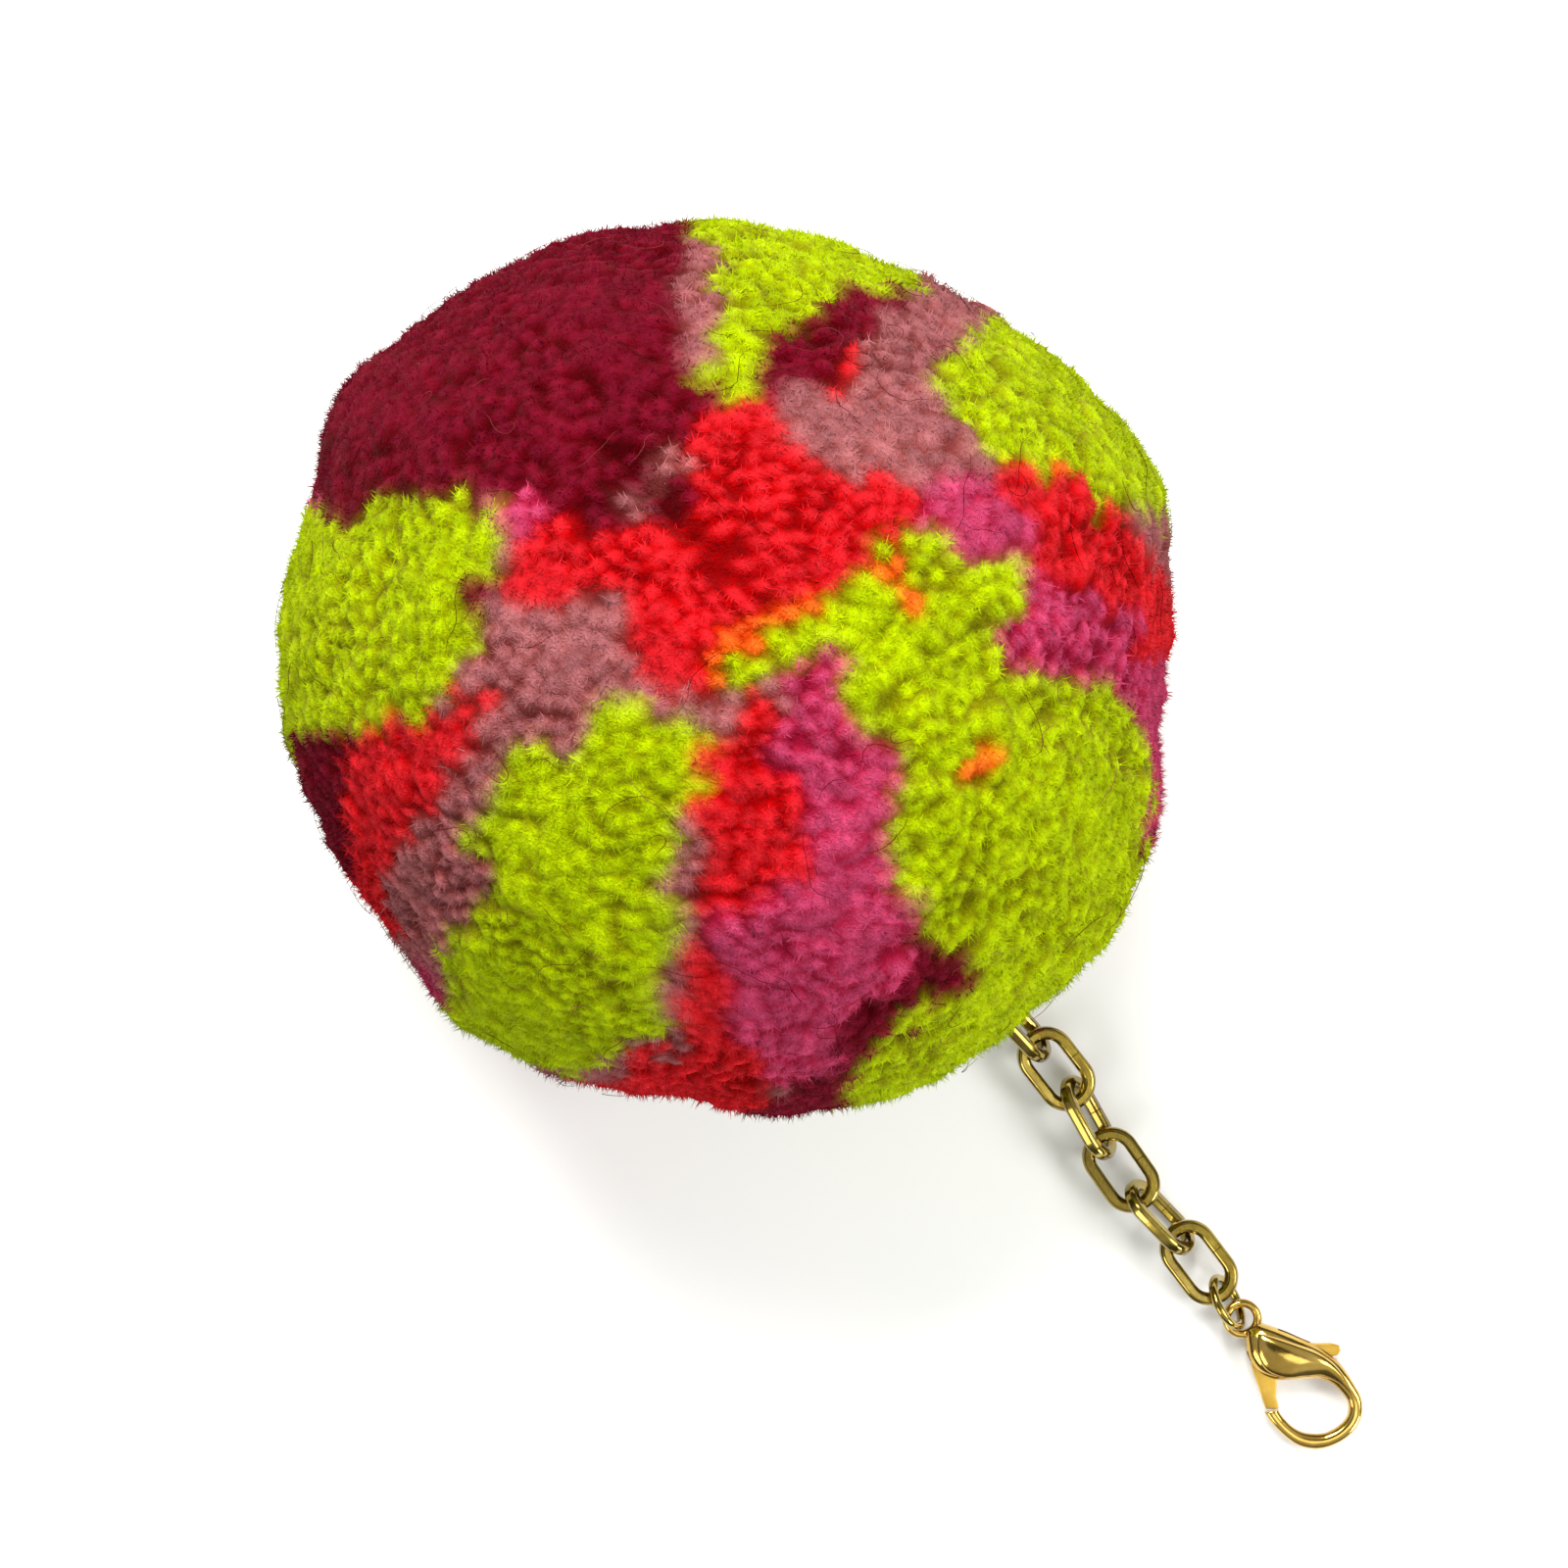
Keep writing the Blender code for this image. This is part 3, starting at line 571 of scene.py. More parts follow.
def makePile(ends):
    directions, quads = cubeSphere(ball["gridSteps"])
    heights, best, colour = pileHeights(directions, ends)
    beside, ahead = besideChain(directions)
    pit = np.clip((ball["pit"]["radius"] - beside) / ball["pit"]["edge"], 0.0, 1.0) * ahead
    heights = restOnTable(directions, heights - ball["pit"]["depth"] * smoothShare(pit), ball["pileLift"])
    points = np.array(ball["centre"]) + directions * heights[:, None]
    triangles = np.concatenate([quads[:, [0, 1, 2]], quads[:, [0, 2, 3]]])
    fields = {"endShade": ends["shade"][best]}
    pile = meshFromTriangles("yarnPile", points, triangles, fields, makeYarn("packedAcrylicYarn"))
    layer = pile.data.color_attributes.new("yarnColour", "FLOAT_COLOR", "POINT")
    # painted shade in the pit where the chain goes in
    colour = colour * (1.0 - ball["pit"]["shade"] * pit[:, None])
    layer.data.foreach_set("color", np.c_[colour, np.ones(len(colour))].astype(np.float32).ravel())
    return pile


def makeFibres(tips, axes, side, other, size, relief, draw):
    perEnd, count = fibre["perEnd"], len(tips)
    spread = np.sqrt(draw.uniform(0.0, 1.0, (count, perEnd)))
    turn = draw.uniform(0.0, 2.0 * math.pi, (count, perEnd))
    outward = side[:, None, :] * np.cos(turn)[..., None] + other[:, None, :] * np.sin(turn)[..., None]
    fromAxis = spread * fibre["reach"]
    dip = -fibre["sunk"] - ball["domeFall"] * relief[:, None] * (fromAxis / size[:, None]) ** 2
    root = tips[:, None, :] + outward * fromAxis[..., None] + axes[:, None, :] * dip[..., None]
    tilt = draw.uniform(*fibre["tilt"], spread.shape)
    swing = turn + draw.normal(0.0, fibre["swing"], spread.shape)
    sideways = side[:, None, :] * np.cos(swing)[..., None] + other[:, None, :] * np.sin(swing)[..., None]
    heading = axes[:, None, :] * np.cos(tilt)[..., None] + sideways * np.sin(tilt)[..., None]
    length = draw.uniform(*fibre["length"], spread.shape) * (1.0 - fibre["taper"] * spread)
    across = unit(np.cross(heading, axes[:, None, :]) + 1e-6)
    third = np.cross(heading, across)
    half = fibre["width"] * draw.uniform(*fibre["widthSpread"], spread.shape)
    corners = []
    for step in range(3):
        angle = step * 2.0 * math.pi / 3.0
        corners.append(root + (across * math.cos(angle) + third * math.sin(angle)) * half[..., None])
    corners.append(root + heading * length[..., None])
    points = np.stack(corners, axis=2).reshape(count, perEnd * 4, 3)
    one = np.array([(0, 1, 3), (1, 2, 3), (2, 0, 3), (0, 2, 1)])
    faces = (one[None] + np.arange(perEnd)[:, None, None] * 4).reshape(-1, 3)
    # Painted shade towards an end's edge and painted light at each fibre's tip
    rootDepth = 1.0 - fibre["depthFall"] * relief[:, None] * spread ** 2
    rootDepth += draw.normal(0.0, fibre["depthScatter"], spread.shape)
    depth = np.clip(np.stack([rootDepth] * 3 + [rootDepth + fibre["tipLight"]], axis=2), 0.0, 1.0)
    facing = unit(axes[:, None, :] + outward * (fibre["roundness"] * spread)[..., None])
    return points, faces, depth.reshape(count, perEnd * 4), np.repeat(facing, 4, axis=1)


def makeFluff(name, ends, chosen, material, seed):
    draw = np.random.default_rng(seed)
    directions = ends["directions"][chosen]
    axes = unit(directions + ends["lie"][chosen] * fibre["lean"] * ends["lying"][chosen][:, None])
    side, other = crossFrame(directions, draw)
    points, faces, depth, facing = makeFibres(
        ends["tips"][chosen], axes, side, other, ends["size"][chosen], ends["relief"][chosen], draw)
    count, each = points.shape[:2]
    triangles = (faces[None] + np.arange(count)[:, None, None] * each).reshape(-1, 3)
    points = points.reshape(-1, 3)
    points[:, 2] = np.maximum(points[:, 2], draw.uniform(*fibre["tableGap"], len(points)))
    fields = {"pileDepth": depth.ravel(), "endShade": np.repeat(ends["shade"][chosen], each)}
    print(name, "ends", count, "triangles", len(triangles))
    return meshFromTriangles(name, points, triangles, fields, material, facing.reshape(-1, 3))


ends = layOutEnds()
yarnMaterials = {
    name: makeYarn("cutAcrylicYarn_" + name, tuple(zip(yarn["depths"], row)))
    for name, row in yarnColours.items()
}
yarnPieces = [makePile(ends)]
for colourIndex, colourName in enumerate(yarnColours):
    chosen = np.nonzero((ends["names"] == colourName) & ends["hasFibres"])[0]
    shares = max(1, math.ceil(len(chosen) / fibre["mostEnds"]))
    order = chosen[np.argsort(ends["tips"][chosen][:, 1])]
    for share, rows in enumerate(np.array_split(order, shares)):
        name = "yarnFluff_" + colourName + ("" if shares == 1 else "_%d" % (share + 1))
        seed = 100 + colourIndex * 10 + share
        yarnPieces.append(makeFluff(name, ends, rows, yarnMaterials[colourName], seed))


# Loose hairs that lie over the pile, in mm
strayHairs = {
    "burgundy": {"count": 110, "length": (4.0, 14.0), "radius": 0.045},
    "dusty": {"count": 60, "length": (3.0, 9.0), "radius": 0.04},
}
hair = {
    "steps": 11,
    "curl": 0.45,
    "kink": 0.32,
    "bendKept": 0.7,
    "underside": -0.25,  # a hair that would start lower than this direction starts above instead
    "thinEnds": 0.35,  # radians left off a half wave of thickness at both ends
    "across": (0.31, 0.22, 0.93),  # its section is laid out from this direction
    "lift": (0.1, 0.7),
    "lowest": 0.3,
    "pileDepth": 0.3,  # dark in colour
    "endShade": 0.4,
}


def makeStrayHairs(colourName, settings, seed):
    draw = np.random.default_rng(seed)
    steps = hair["steps"]
    points, faces, start = [], [], 0
    for _ in range(settings["count"]):
        direction = unit(draw.normal(size=3))
        if direction[2] < hair["underside"]:
            direction[2] *= -1.0
        heading = unit(np.cross(direction, draw.normal(size=3)))
        stride = draw.uniform(*settings["length"]) / steps / ball["radius"]
        bend = draw.normal(0.0, hair["curl"])
        height = draw.uniform(*hair["lift"])
        line = []
        for step in range(steps):
            bend = hair["bendKept"] * bend + draw.normal(0.0, hair["kink"])
            heading = unit(heading + np.cross(direction, heading) * bend)
            heading = unit(heading - direction * (heading @ direction))
            direction = unit(direction + heading * stride)
            rise = height * math.sin(math.pi * (step + 0.5) / steps)
            line.append(direction * (pileRadius(direction[None])[0] + rise))
        line = np.array(line) + ball["centre"]
        line[:, 2] = np.maximum(line[:, 2], hair["lowest"])
        along = unit(np.gradient(line, axis=0))
        across = unit(np.cross(along, hair["across"]))
        third = np.cross(along, across)
        wave = np.linspace(hair["thinEnds"], math.pi - hair["thinEnds"], steps)
        thickness = settings["radius"] * np.sin(wave)
        for turn in (0.0, 2.0 * math.pi / 3.0, 4.0 * math.pi / 3.0):
            points.append(line + (across * math.cos(turn) + third * math.sin(turn)) * thickness[:, None])
        for step in range(steps - 1):
            for k in range(3):
                a, b = start + k * steps + step, start + (k + 1) % 3 * steps + step
                faces += [(a, b, b + 1), (a, b + 1, a + 1)]
        last = start + steps - 1
        faces += [(start, start + 2 * steps, start + steps), (last, last + steps, last + 2 * steps)]
        start += 3 * steps
    points = np.concatenate(points)
    fields = {key: np.full(len(points), hair[key]) for key in ("pileDepth", "endShade")}
    name = "strayHairs_" + colourName
    return meshFromTriangles(name, points, np.array(faces), fields, yarnMaterials[colourName])


for index, (colourName, settings) in enumerate(strayHairs.items()):
    yarnPieces.append(makeStrayHairs(colourName, settings, 300 + index))

for piece in yarnPieces:
    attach(piece, "charm")
    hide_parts("pom_pom")
print("ball of yarn made,", len(yarnPieces), "pieces")


# Gold plated brass under a thin lacquer: the plating gives the eye its mirror, the grain below it soft
# marks of the making, and the cloudy film duller places where it was handled
plating = {
    "lacquerRoughness": 0.05,
    "cloudStops": (0.30, 0.55, 0.80),  # where it is dull, gold and bright
    "filmSpan": (0.75, 1.35),  # times its roughness
    "grainDepth": 0.00006,  # m
}


def makePlatedBrass(name, settings):
    material, tree, shader = startMaterial(name, {
        "Metallic": 1.0,
        "Roughness": settings["roughness"],
        "Coat Weight": settings["lacquer"],
        "Coat Roughness": plating["lacquerRoughness"],
    })
    place = addNode(tree, "ShaderNodeTexCoord")
    cloud = addNode(tree, "ShaderNodeTexNoise", {"Scale": settings["cloudScale"], "Detail": 3.0},
                    {"Vector": place.outputs["Object"]})
    ramp = addNode(tree, "ShaderNodeValToRGB", links={"Fac": cloud.outputs["Fac"]})
    colours = [settings[key] for key in ("dull", "gold", "bright")]
    setStops(ramp, tuple(zip(plating["cloudStops"], colours)))
    tree.links.new(ramp.outputs["Color"], shader.inputs["Base Color"])
    least, most = plating["filmSpan"]
    filmRange = {"To Min": settings["roughness"] * least, "To Max": settings["roughness"] * most}
    film = addNode(tree, "ShaderNodeMapRange", filmRange, {"Value": cloud.outputs["Fac"]})
    tree.links.new(film.outputs["Result"], shader.inputs["Roughness"])
    grain = addNode(tree, "ShaderNodeTexNoise", {"Scale": settings["grainScale"], "Detail": 2.0},
                    {"Vector": place.outputs["Object"]})
    bumps = {"Strength": settings["grain"], "Distance": plating["grainDepth"]}
    bump = addNode(tree, "ShaderNodeBump", bumps, {"Height": grain.outputs["Fac"]})
    tree.links.new(bump.outputs["Normal"], shader.inputs["Normal"])
    return material


wireGold = makePlatedBrass("goldPlatedBrassWire", {  # drawn smooth: its flats mirror the dark overhead
    "dull": "#7C661A", "gold": "#98822C", "bright": "#B8A24E",
    "lacquer": 0.6, "roughness": 0.15, "cloudScale": 260.0, "grainScale": 1500.0, "grain": 0.12,
})
castGold = makePlatedBrass("goldPlatedBrassCasting", {  # tumbled round and bright, a little orange peel left
    "dull": "#A4822E", "gold": "#C4A046", "bright": "#DCC070",
    "lacquer": 0.5, "roughness": 0.14, "cloudScale": 200.0, "grainScale": 900.0, "grain": 0.25,
})
leverGold = makePlatedBrass("goldPlatedBrassSheet", {  # stamped and brushed, paler and less bright
    "dull": "#B88E30", "gold": "#D0A842", "bright": "#E4C05C",
    "lacquer": 0.2, "roughness": 0.34, "cloudScale": 300.0, "grainScale": 1800.0, "grain": 0.30,
})


def loftRings(name, rings, closed, material):
    bm = bmesh.new()
    made = [[bm.verts.new(Vector(p) * mm) for p in ring] for ring in rings]
    sides = len(rings[0])
    follow = made[1:] + made[:1] if closed else made[1:]
    for before, after in zip(made, follow):
        for k in range(sides):
            j = (k + 1) % sides
            bm.faces.new((before[k], before[j], after[j], after[k]))
    if not closed:
        bm.faces.new(made[0][::-1])
        bm.faces.new(made[-1])
    bmesh.ops.recalc_face_normals(bm, faces=bm.faces)
    mesh = bpy.data.meshes.new(name)
    bm.to_mesh(mesh)
    bm.free()
    mesh.shade_smooth()
    mesh.materials.append(material)
    piece = bpy.data.objects.new(name, mesh)
    bpy.context.scene.collection.objects.link(piece)
    return piece


# The chain of bent wire and its jump ring, in mm and degrees
chain = {
    "linkLength": 12.3,
    "linkWidth": 7.8,
    "wire": 1.75,
    "chamfer": 0.40,
    "cornerRound": 0.16,
    "arcSteps": 22,
    "firstBarRadius": 45.1,  # how far from the ball's middle the first link begins
    "seam": {"depth": 0.10, "width": 0.06, "run": 0.30},  # where the bent wire's ends meet
    "links": (  # node, heading, slope, roll and play to the next piece, as in the solids
        ("chain_link_1", 0.0, 38.57, 0.0, 0.46),
        ("chain_link_2", 3.0, 41.0, 90.0, 0.51),
        ("chain_link_3", 5.0, 30.0, 0.0, 0.81),
        ("chain_link_4", 4.0, 15.0, -68.0, 0.80),
        ("chain_link_5", -1.0, 5.0, -4.0, 0.93),
        ("chain_link_6", -10.0, 0.0, -64.0, 0.58),
        ("chain_link_7", -4.0, 0.0, 5.0, 0.62),
        ("chain_link_8", 5.0, 0.0, -64.0, 0.84),
        ("chain_link_9", -2.0, 0.0, -4.0, 0.68),
    ),
    "ring": {"outer": 8.0, "wire": 1.2, "heading": -9.0, "roll": -66.0, "height": 3.67,
             "cutAt": 2.2, "cut": 0.86, "steps": 56, "sides": 14},
}


def roundedSection(half, chamfer, rounding):
    cut = half - chamfer
    corners = [(half, -cut), (half, cut), (cut, half), (-cut, half),
               (-half, cut), (-half, -cut), (-cut, -half), (cut, -half)]
    points = []
    for index, corner in enumerate(corners):
        here = np.array(corner)
        back, ahead = np.array(corners[index - 1]) - here, np.array(corners[(index + 1) % 8]) - here
        back, ahead = back / np.linalg.norm(back) * rounding, ahead / np.linalg.norm(ahead) * rounding
        for share in (0.0, 0.5, 1.0):
            points.append(here + back * (1.0 - share) ** 2 + ahead * share ** 2)
    return np.array(points)


def linkPath():
    wire, steps = chain["wire"], chain["arcSteps"]
    radius = (chain["linkWidth"] - wire) / 2.0
    straight = (chain["linkLength"] - wire) / 2.0 - radius
    run, cut = chain["seam"]["run"], chain["seam"]["width"]
    rows = []
    for end, turn in ((1.0, -90.0), (-1.0, 90.0)):
        for step in range(steps + 1):
            angle = math.radians(turn + 180.0 * step / steps)
            outX, outY = math.cos(angle), math.sin(angle)
            rows.append((end * straight + radius * outX, radius * outY, outX, outY, 0.0))
        if end > 0.0:
            for offset, depth in ((run, 0.0), (cut, 0.0), (0.0, 1.0), (-cut, 0.0), (-run, 0.0)):
                rows.append((offset, radius, 0.0, 1.0, depth))
    return rows


def pieceMatrix(centre, along, roll):
    across = Vector((0.0, 0.0, 1.0)).cross(along).normalized()
    level = Matrix((along, across, along.cross(across))).transposed()
    return Matrix.Translation(centre) @ (level @ Matrix.Rotation(math.radians(roll), 3, "X")).to_4x4()


def headingVector(heading, slope):
    turned, dipped = math.radians(heading), math.radians(slope)
    level = math.cos(dipped)
    return Vector((level * math.cos(turned), level * math.sin(turned), -math.sin(dipped)))


def makeLink(name, matrix):
    section = roundedSection(chain["wire"] / 2.0, chain["chamfer"], chain["cornerRound"])
    rings = []
    for x, y, outX, outY, seam in linkPath():
        shrunk = section * (1.0 - seam * chain["seam"]["depth"])
        rings.append([matrix @ Vector((x + outX * u, y + outY * u, w)) for u, w in shrunk])
    piece = loftRings(name, rings, True, wireGold)
    piece.data.set_sharp_from_angle(angle=math.radians(10.0))  # flat faces stay flat, bends stay smooth
    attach(piece, "charm")
    return piece


def makeChain():
    reach = chain["linkLength"] - chain["wire"]
    bar = Vector(ball["centre"]) + Vector(chainEntry()) * chain["firstBarRadius"]
    overlap = 0.0
    for node, heading, slope, roll, play in chain["links"]:
        along = headingVector(heading, slope)
        nearBar = bar - along * overlap
        matrix = pieceMatrix(nearBar + along * reach / 2.0, along, roll)
        piece = makeLink(node.replace("chain_link_", "link_"), matrix)
        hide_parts(node)
        farBar = nearBar + along * reach
        overlap = (chain["wire"] + play) / 2.0
        bar = farBar - along * overlap
    return farBar, play


def makeRing(farBar, play):
    ring = chain["ring"]
    along = headingVector(ring["heading"], 0.0)
    radius, wire = (ring["outer"] - ring["wire"]) / 2.0, ring["wire"]
    centre = farBar + along * (radius - (chain["wire"] + wire) / 2.0 - play)
    centre.z = ring["height"]
    matrix = pieceMatrix(centre, along, ring["roll"])
    rings = []
    for step in range(ring["steps"]):
        angle = 2.0 * math.pi * step / ring["steps"] + ring["cutAt"]
        shrink = ring["cut"] if step == 0 else 1.0  # the ring's cut
        tube = []
        for k in range(ring["sides"]):
            turn = 2.0 * math.pi * k / ring["sides"]
            reach = radius + wire / 2.0 * math.cos(turn) * shrink
            height = wire / 2.0 * math.sin(turn) * shrink
            tube.append(matrix @ Vector((reach * math.cos(angle), reach * math.sin(angle), height)))
        rings.append(tube)
    piece = loftRings("jumpRing", rings, True, wireGold)
    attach(piece, "charm")
    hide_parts("jump_ring")


# The loop of tie yarn at the bottom of the pit, which holds the first link
tie = {
    "radius": 0.85,
    "play": 0.40,
    "sunk": 0.6,
    "plyDepth": 0.10,
    "plies": 3,
    "twists": 14,
    "steps": 40,
    "sides": 12,
}


def makeTieLoop():
    entry, level = Vector(chainEntry()), Vector((0.0, 1.0, 0.0))
    floor = pileRadius(chainEntry()[None])[0] - ball["pit"]["depth"] - tie["sunk"]
    wireMiddle = chain["firstBarRadius"] + chain["wire"] / 2.0 + tie["play"] + tie["radius"]
    middle, reach = Vector(ball["centre"]) + entry * floor, wireMiddle - floor
    across = level.cross(entry)
    rings = []
    for step in range(tie["steps"]):
        angle = 2.0 * math.pi * step / tie["steps"]
        outward = entry * math.cos(angle) + across * math.sin(angle)
        ring = []
        for k in range(tie["sides"]):
            turn = 2.0 * math.pi * k / tie["sides"]
            ply = math.cos(tie["plies"] * turn + tie["twists"] * angle)
            thick = tie["radius"] * (1.0 - tie["plyDepth"] + tie["plyDepth"] * ply)
            ring.append(middle + outward * (reach + thick * math.cos(turn)) + level * thick * math.sin(turn))
        rings.append(ring)
    # It carries no pileDepth, so it shows the burgundy's deep colour, the painted shade of the gaps
    return loftRings("tieYarnLoop", rings, True, yarnMaterials["burgundy"])


makeRing(*makeChain())
tieLoop = makeTieLoop()
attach(tieLoop, "charm")
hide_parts("pom_pom")
print("chain, jump ring and tie loop made")

# The lobster clasp, in mm along it and across it from the outside of its eye
clasp = {
    "origin": (106.876, -0.13, 2.4),
    "heading": -3.2,
    "eye": {"outer": 5.3, "wire": 1.15, "centre": 2.5, "steps": 56, "sides": 18},
    "pivot": (8.3, 0.6),
    "slot": {"from": 6.3, "to": 14.2, "height": 2.0, "middle": 2.0, "width": 20.0},  # the lever turns in it
    "rows": (  # outer s, outer t, inner s, inner t, thickness, from neck to tip as in the solids
        (4.25, 1.55, 4.15, -0.75, 2.3), (5.50, 2.55, 5.20, -1.45, 3.7), (7.30, 3.80, 7.10, -2.40, 4.5),
        (9.30, 5.00, 9.60, -2.40, 4.8), (11.20, 6.10, 11.90, -0.90, 4.8), (13.00, 6.80, 13.50, 1.50, 4.4),
        (14.80, 7.15, 14.80, 3.40, 3.6), (16.60, 7.20, 16.40, 4.50, 2.9), (18.40, 7.05, 18.20, 4.95, 2.4),
        (20.20, 6.80, 19.60, 4.95, 2.1), (21.70, 6.00, 20.60, 4.45, 2.0), (22.80, 4.75, 21.30, 3.55, 2.0),
        (23.40, 3.10, 21.60, 2.40, 2.0), (23.50, 1.20, 21.60, 1.20, 2.0), (23.05, -0.85, 21.25, -0.15, 2.0),
        (22.05, -2.60, 20.40, -1.40, 2.0), (20.50, -3.90, 19.40, -2.35, 1.9),
        (18.60, -4.60, 18.10, -2.95, 1.9), (16.60, -4.95, 16.50, -3.25, 1.8),
        (14.70, -4.95, 15.45, -3.25, 1.7), (14.40, -4.84, 15.24, -3.16, 1.6),
    ),
    "rivet": {"radius": 0.6, "length": 4.3, "edge": 0.12, "sides": 32},
    "steps": 6,
    "sides": 36,
    "squareness": 0.8,
    "thickest": 4.8,
    "plateau": {"from": 0.9, "to": 8.6, "rise": 0.50, "inset": 0.20, "lean": 0.30, "crown": 0.75,
                "base": 0.72, "under": 0.25, "sides": 20,
                "skew": 0.8, "fullness": 0.6, "ends": 0.04},  # the raised face on its body, by rows
}
lever = {
    "thickness": 1.4,
    "edgeRound": 0.18,
    "hole": {"radius": 0.9, "sides": 32},
    "gateReach": 7.65,
    "gateAngles": (-41.5, -35.0, -28.5),
    "inner": ((13.5, -2.45), (11.9, -1.15), (11.0, 0.40), (11.1, 2.40),
              (12.2, 4.60), (13.3, 6.40), (13.8, 7.50)),
    "tab": ((13.60, 8.15), (12.90, 8.40), (12.10, 7.75)),
    "back": ((11.0, 6.10), (9.50, 4.20), (7.70, 2.50), (6.85, 1.30),
             (6.75, 0.10), (7.10, -1.20), (8.20, -2.65)),
}
claspTurn = Matrix.Rotation(math.radians(clasp["heading"]), 4, "Z")
claspMatrix = Matrix.Translation(Vector(clasp["origin"])) @ claspTurn


def easedRows(rows, steps):
    table = np.array(rows)
    padded = np.concatenate([table[:1], table, table[-1:]])
    made = []
    for index in range(len(table) - 1):
        before, start, end, after = padded[index:index + 4]
        for step in range(steps):
            t = step / steps
            bend, turn = 2 * before - 5 * start + 4 * end - after, 3 * (start - end) + after - before
            made.append(0.5 * (2 * start + (end - before) * t + bend * t ** 2 + turn * t ** 3))
    made.append(table[-1])
    made = np.array(made)
    made[:, 4] = np.minimum(made[:, 4], clasp["thickest"])
    return made


def applyBoolean(piece, other, operation):
    modifier = piece.modifiers.new("cut", "BOOLEAN")
    modifier.operation = operation
    modifier.object = other
    bpy.context.view_layer.update()
    graph = bpy.context.evaluated_depsgraph_get()
    mesh = bpy.data.meshes.new_from_object(piece.evaluated_get(graph))
    piece.modifiers.clear()
    piece.data = mesh
    bpy.data.objects.remove(other)


def castingRings():
    sides = clasp["sides"]
    rings = []
    for outerS, outerT, innerS, innerT, thickness in easedRows(clasp["rows"], clasp["steps"]):
        middle = np.array([(outerS + innerS) / 2.0, (outerT + innerT) / 2.0])
        half = np.array([(outerS - innerS) / 2.0, (outerT - innerT) / 2.0])
        ring = []
        for k in range(sides):
            angle = 2.0 * math.pi * (k + 0.5) / sides
            across = math.copysign(abs(math.cos(angle)) ** clasp["squareness"], math.cos(angle))
            up = math.copysign(abs(math.sin(angle)) ** clasp["squareness"], math.sin(angle))
            s, t = middle + half * across
            ring.append(claspMatrix @ Vector((s, t, up * thickness / 2.0)))
        rings.append(ring)
    return rings


def makeCasting():
    casting = loftRings("claspCasting", castingRings(), False, castGold)
    eye = clasp["eye"]
    bpy.ops.mesh.primitive_torus_add(
        major_radius=(eye["outer"] - eye["wire"]) / 2.0 * mm, minor_radius=eye["wire"] / 2.0 * mm,
        major_segments=eye["steps"], minor_segments=eye["sides"])
    torus = bpy.context.object
    torus.matrix_world = Matrix.Translation((claspMatrix @ Vector((eye["centre"], 0.0, 0.0))) * mm)
    applyBoolean(casting, torus, "UNION")
    slot = clasp["slot"]
    bpy.ops.mesh.primitive_cube_add(size=1.0)
    box = bpy.context.object
    middle = (claspMatrix @ Vector(((slot["from"] + slot["to"]) / 2.0, slot["middle"], 0.0))) * mm
    size = Vector((slot["to"] - slot["from"], slot["width"], slot["height"])) * mm
    box.matrix_world = Matrix.Translation(middle) @ claspTurn @ Matrix.Diagonal((*size, 1.0))
    applyBoolean(casting, box, "DIFFERENCE")
    casting.data.shade_smooth()
    casting.data.set_sharp_from_angle(angle=math.radians(38.0))
    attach(casting, "charm")
    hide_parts("clasp_casting")


def makeRivet():
    rivet = clasp["rivet"]
    half, edge = rivet["length"] / 2.0, rivet["edge"]
    rings = []
    for height, radius in ((-half, rivet["radius"] - edge), (edge - half, rivet["radius"]),
                           (half - edge, rivet["radius"]), (half, rivet["radius"] - edge)):
        ring = []
        for k in range(rivet["sides"]):
            angle = 2.0 * math.pi * k / rivet["sides"]
            ring.append(claspMatrix @ Vector((*aroundPivot(radius, angle), height)))
        rings.append(ring)
    piece = loftRings("claspRivet", rings, False, castGold)
    piece.data.set_sharp_from_angle(angle=math.radians(30.0))
    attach(piece, "charm")
    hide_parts("clasp_rivet")


def makePlateau():
    settings = clasp["plateau"]
    rows = easedRows(clasp["rows"], clasp["steps"])
    first, last = int(settings["from"] * clasp["steps"]), int(settings["to"] * clasp["steps"])
    rings = []
    for index in range(first, last + 1):
        outerS, outerT, innerS, innerT, thickness = rows[index]
        share = (index - first) / (last - first)
        wave = math.sin(math.pi * share ** settings["skew"])
        swell = max(settings["ends"], wave) ** settings["fullness"]
        middle = np.array([(outerS + innerS) / 2.0, (outerT + innerT) / 2.0])
        half = np.array([(outerS - innerS) / 2.0, (outerT - innerT) / 2.0])
        half = half * (1.0 - settings["inset"]) * swell
        base, top = thickness / 2.0 * settings["base"], thickness / 2.0 + settings["rise"] * swell
        ring = []
        for k in range(settings["sides"]):
            angle = 2.0 * math.pi * k / settings["sides"]
            s, t = middle + half * math.cos(angle)
            crown = max(0.0, math.sin(angle)) ** settings["crown"]
            rise = crown * (1.0 + settings["lean"] * math.cos(angle) * swell)
            under = settings["under"] if math.sin(angle) < -0.01 else 0.0  # closed inside the casting
            ring.append(claspMatrix @ Vector((s, t, base + (top - base) * rise - under)))
        rings.append(ring)
    plateau = loftRings("claspPlateau", rings, False, castGold)
    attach(plateau, "charm")


def aroundPivot(reach, angle):
    pivotS, pivotT = clasp["pivot"]
    return pivotS + reach * math.cos(angle), pivotT + reach * math.sin(angle)


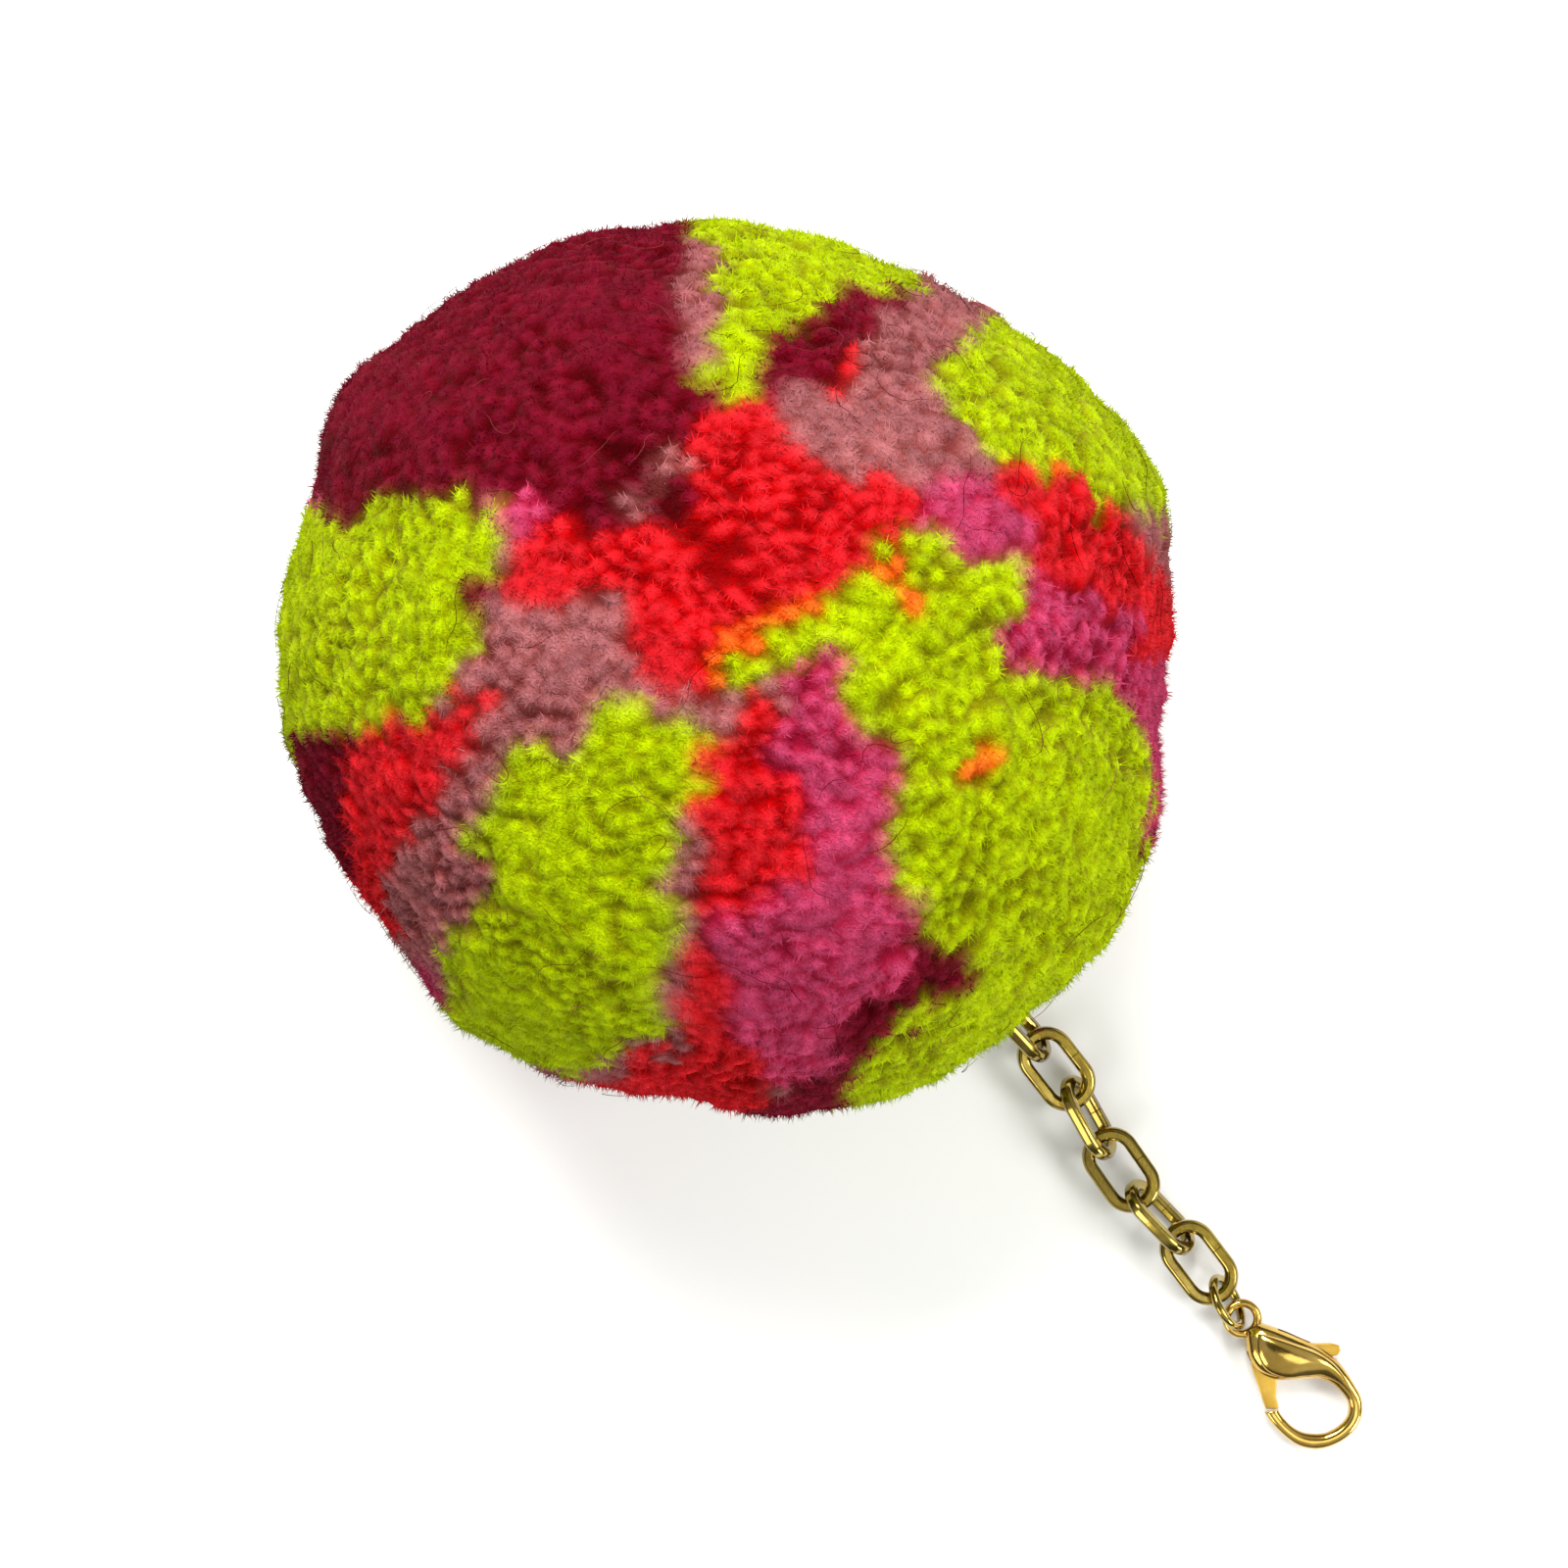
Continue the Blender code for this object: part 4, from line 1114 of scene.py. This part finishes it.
def makeLever():
    pivotS, pivotT = clasp["pivot"]
    gate = [aroundPivot(lever["gateReach"], math.radians(angle)) for angle in lever["gateAngles"]]
    outline = gate + list(lever["inner"]) + list(lever["tab"]) + list(lever["back"])
    curve = bpy.data.curves.new("leverOutline", "CURVE")
    curve.dimensions = "2D"
    curve.fill_mode = "BOTH"
    curve.extrude = (lever["thickness"] / 2.0 - lever["edgeRound"]) * mm
    curve.bevel_depth = lever["edgeRound"] * mm
    curve.bevel_resolution = 3
    curve.offset = -lever["edgeRound"] * mm
    sides = lever["hole"]["sides"]
    hole = [aroundPivot(lever["hole"]["radius"], -2.0 * math.pi * k / sides) for k in range(sides)]
    for line in (outline, hole):
        spline = curve.splines.new("POLY")
        spline.points.add(len(line) - 1)
        for point, (s, t) in zip(spline.points, line):
            point.co = ((s - pivotS) * mm, (t - pivotT) * mm, 0.0, 1.0)
        spline.use_cyclic_u = True
    drawn = bpy.data.objects.new("leverOutline", curve)
    bpy.context.scene.collection.objects.link(drawn)
    bpy.context.view_layer.update()
    mesh = bpy.data.meshes.new_from_object(drawn.evaluated_get(bpy.context.evaluated_depsgraph_get()))
    bpy.data.objects.remove(drawn)
    bm = bmesh.new()
    bm.from_mesh(mesh)
    bmesh.ops.remove_doubles(bm, verts=bm.verts, dist=0.000001)
    bmesh.ops.recalc_face_normals(bm, faces=bm.faces)
    bm.to_mesh(mesh)
    bm.free()
    place = claspMatrix @ Vector((pivotS, pivotT, 0.0))
    mesh.transform(Matrix.Translation(place * mm) @ claspTurn)
    mesh.materials.clear()
    mesh.materials.append(leverGold)
    mesh.shade_smooth()
    mesh.set_sharp_from_angle(angle=math.radians(35.0))
    piece = bpy.data.objects.new("claspLever", mesh)
    bpy.context.scene.collection.objects.link(piece)
    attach(piece, "lever")
    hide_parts("clasp_lever")


makeCasting()
makePlateau()
makeRivet()
makeLever()
print("clasp made")

# Table, light and camera
studio = {
    "floorColours": ("#F1F1EF", "#F4F4F2"),
    "floorSize": 24.0,  # m
    "worldStrength": 0.82,
    "darkTowards": (-0.066, 0.106),  # right and up in the picture
    "dimSide": 0.55,  # of the light from up left in the picture, against down right
    "dimSpan": (-0.7, 0.5),
    "worldStops": (  # by the sine of the height; it is darker straight overhead and low down
        (0.0, "#606060"), (0.40, "#7C7C7C"), (0.58, "#F8F8F8"), (0.945, "#F4F4F4"), (0.975, "#646464"),
    ),
    "aim": (30.0, 0.0, 30.0),  # mm
    "softboxes": (  # right, up and height in mm in the picture's directions, width, watts
        (-120.0, 420.0, 600.0, 350.0, 8.5),
        (540.0, -60.0, 460.0, 260.0, 2.0),
        (-420.0, -460.0, 420.0, 300.0, 1.5),
        (420.0, -330.0, 200.0, 140.0, 1.2),
        (135.0, -176.0, 490.0, 150.0, 0.14),
    ),
}


def makeFloor():
    bpy.ops.mesh.primitive_plane_add(size=studio["floorSize"])
    floor = bpy.context.object
    floor.name = "paleTable"
    material, tree, shader = startMaterial("mattPaintedBoard", {"Roughness": 0.85, "Specular IOR Level": 0.2})
    place = addNode(tree, "ShaderNodeTexCoord")
    mottle = addNode(tree, "ShaderNodeTexNoise", {"Scale": 40.0}, {"Vector": place.outputs["Object"]})
    ramp = addNode(tree, "ShaderNodeValToRGB", links={"Fac": mottle.outputs["Fac"]})
    setStops(ramp, tuple(zip((0.0, 1.0), studio["floorColours"])))  # a plain board, hardly mottled
    tree.links.new(ramp.outputs["Color"], shader.inputs["Base Color"])
    floor.data.materials.append(material)


def makeLamps():
    right, up, aim = Vector(view["right"]), Vector(view["up"]), Vector(studio["aim"]) * mm
    for index, (r, u, height, width, watts) in enumerate(studio["softboxes"]):
        light = bpy.data.lights.new("softbox_%d" % (index + 1), "AREA")
        light.size = width * mm
        light.energy = watts
        lamp = bpy.data.objects.new(light.name, light)
        lamp.location = (right * r + up * u + Vector((0.0, 0.0, height))) * mm
        lamp.rotation_euler = (aim - lamp.location).to_track_quat("-Z", "Y").to_euler()
        bpy.context.scene.collection.objects.link(lamp)


def makeRoom():
    right, up = Vector(view["right"]), Vector(view["up"])
    world = bpy.data.worlds.new("softRoom")
    world.use_nodes = True
    tree = world.node_tree
    background = tree.nodes["Background"]
    sky = addNode(tree, "ShaderNodeTexCoord")
    darkRight, darkUp = studio["darkTowards"]
    towards = (right * darkRight + up * darkUp + Vector((0.0, 0.0, 1.0))).normalized()
    dot = {"operation": "DOT_PRODUCT"}
    height = addNode(tree, "ShaderNodeVectorMath", dot, {0: sky.outputs["Generated"]})
    height.inputs[1].default_value = towards
    ramp = addNode(tree, "ShaderNodeValToRGB", links={"Fac": height.outputs["Value"]})
    setStops(ramp, studio["worldStops"])
    side = addNode(tree, "ShaderNodeVectorMath", dot, {0: sky.outputs["Generated"]})
    side.inputs[1].default_value = (right - up).normalized()
    low, high = studio["dimSpan"]
    dimRange = {"From Min": low, "From Max": high, "To Min": studio["dimSide"], "To Max": 1.0}
    dimmed = addNode(tree, "ShaderNodeMapRange", dimRange, {"Value": side.outputs["Value"]})
    strength = addNode(tree, "ShaderNodeMath", {"operation": "MULTIPLY"}, {0: dimmed.outputs["Result"]})
    strength.inputs[1].default_value = studio["worldStrength"]
    tree.links.new(ramp.outputs["Color"], background.inputs["Color"])
    tree.links.new(strength.outputs["Value"], background.inputs["Strength"])
    bpy.context.scene.world = world


def makeCamera():
    data = bpy.data.cameras.new("camera")
    fieldWidth = 2.0 * view["pictureMiddle"] / view["tableScale"]  # mm of table across the frame
    data.lens = data.sensor_width * view["camera"][2] / fieldWidth
    data.clip_start = 0.01
    camera = bpy.data.objects.new("camera", data)
    camera.location = Vector(view["camera"]) * mm
    camera.rotation_euler = (0.0, 0.0, math.atan2(view["right"][1], view["right"][0]))
    bpy.context.scene.collection.objects.link(camera)
    bpy.context.scene.camera = camera


makeFloor()
makeLamps()
makeRoom()
makeCamera()
bpy.context.scene.cycles.diffuse_bounces = 2  # enough for the gaps in the pile, and quick
bpy.context.scene.view_settings.view_transform = "Standard"  # keeps the neon yarns as bright as they are
print("studio and camera set")

bpy.context.view_layer.update()
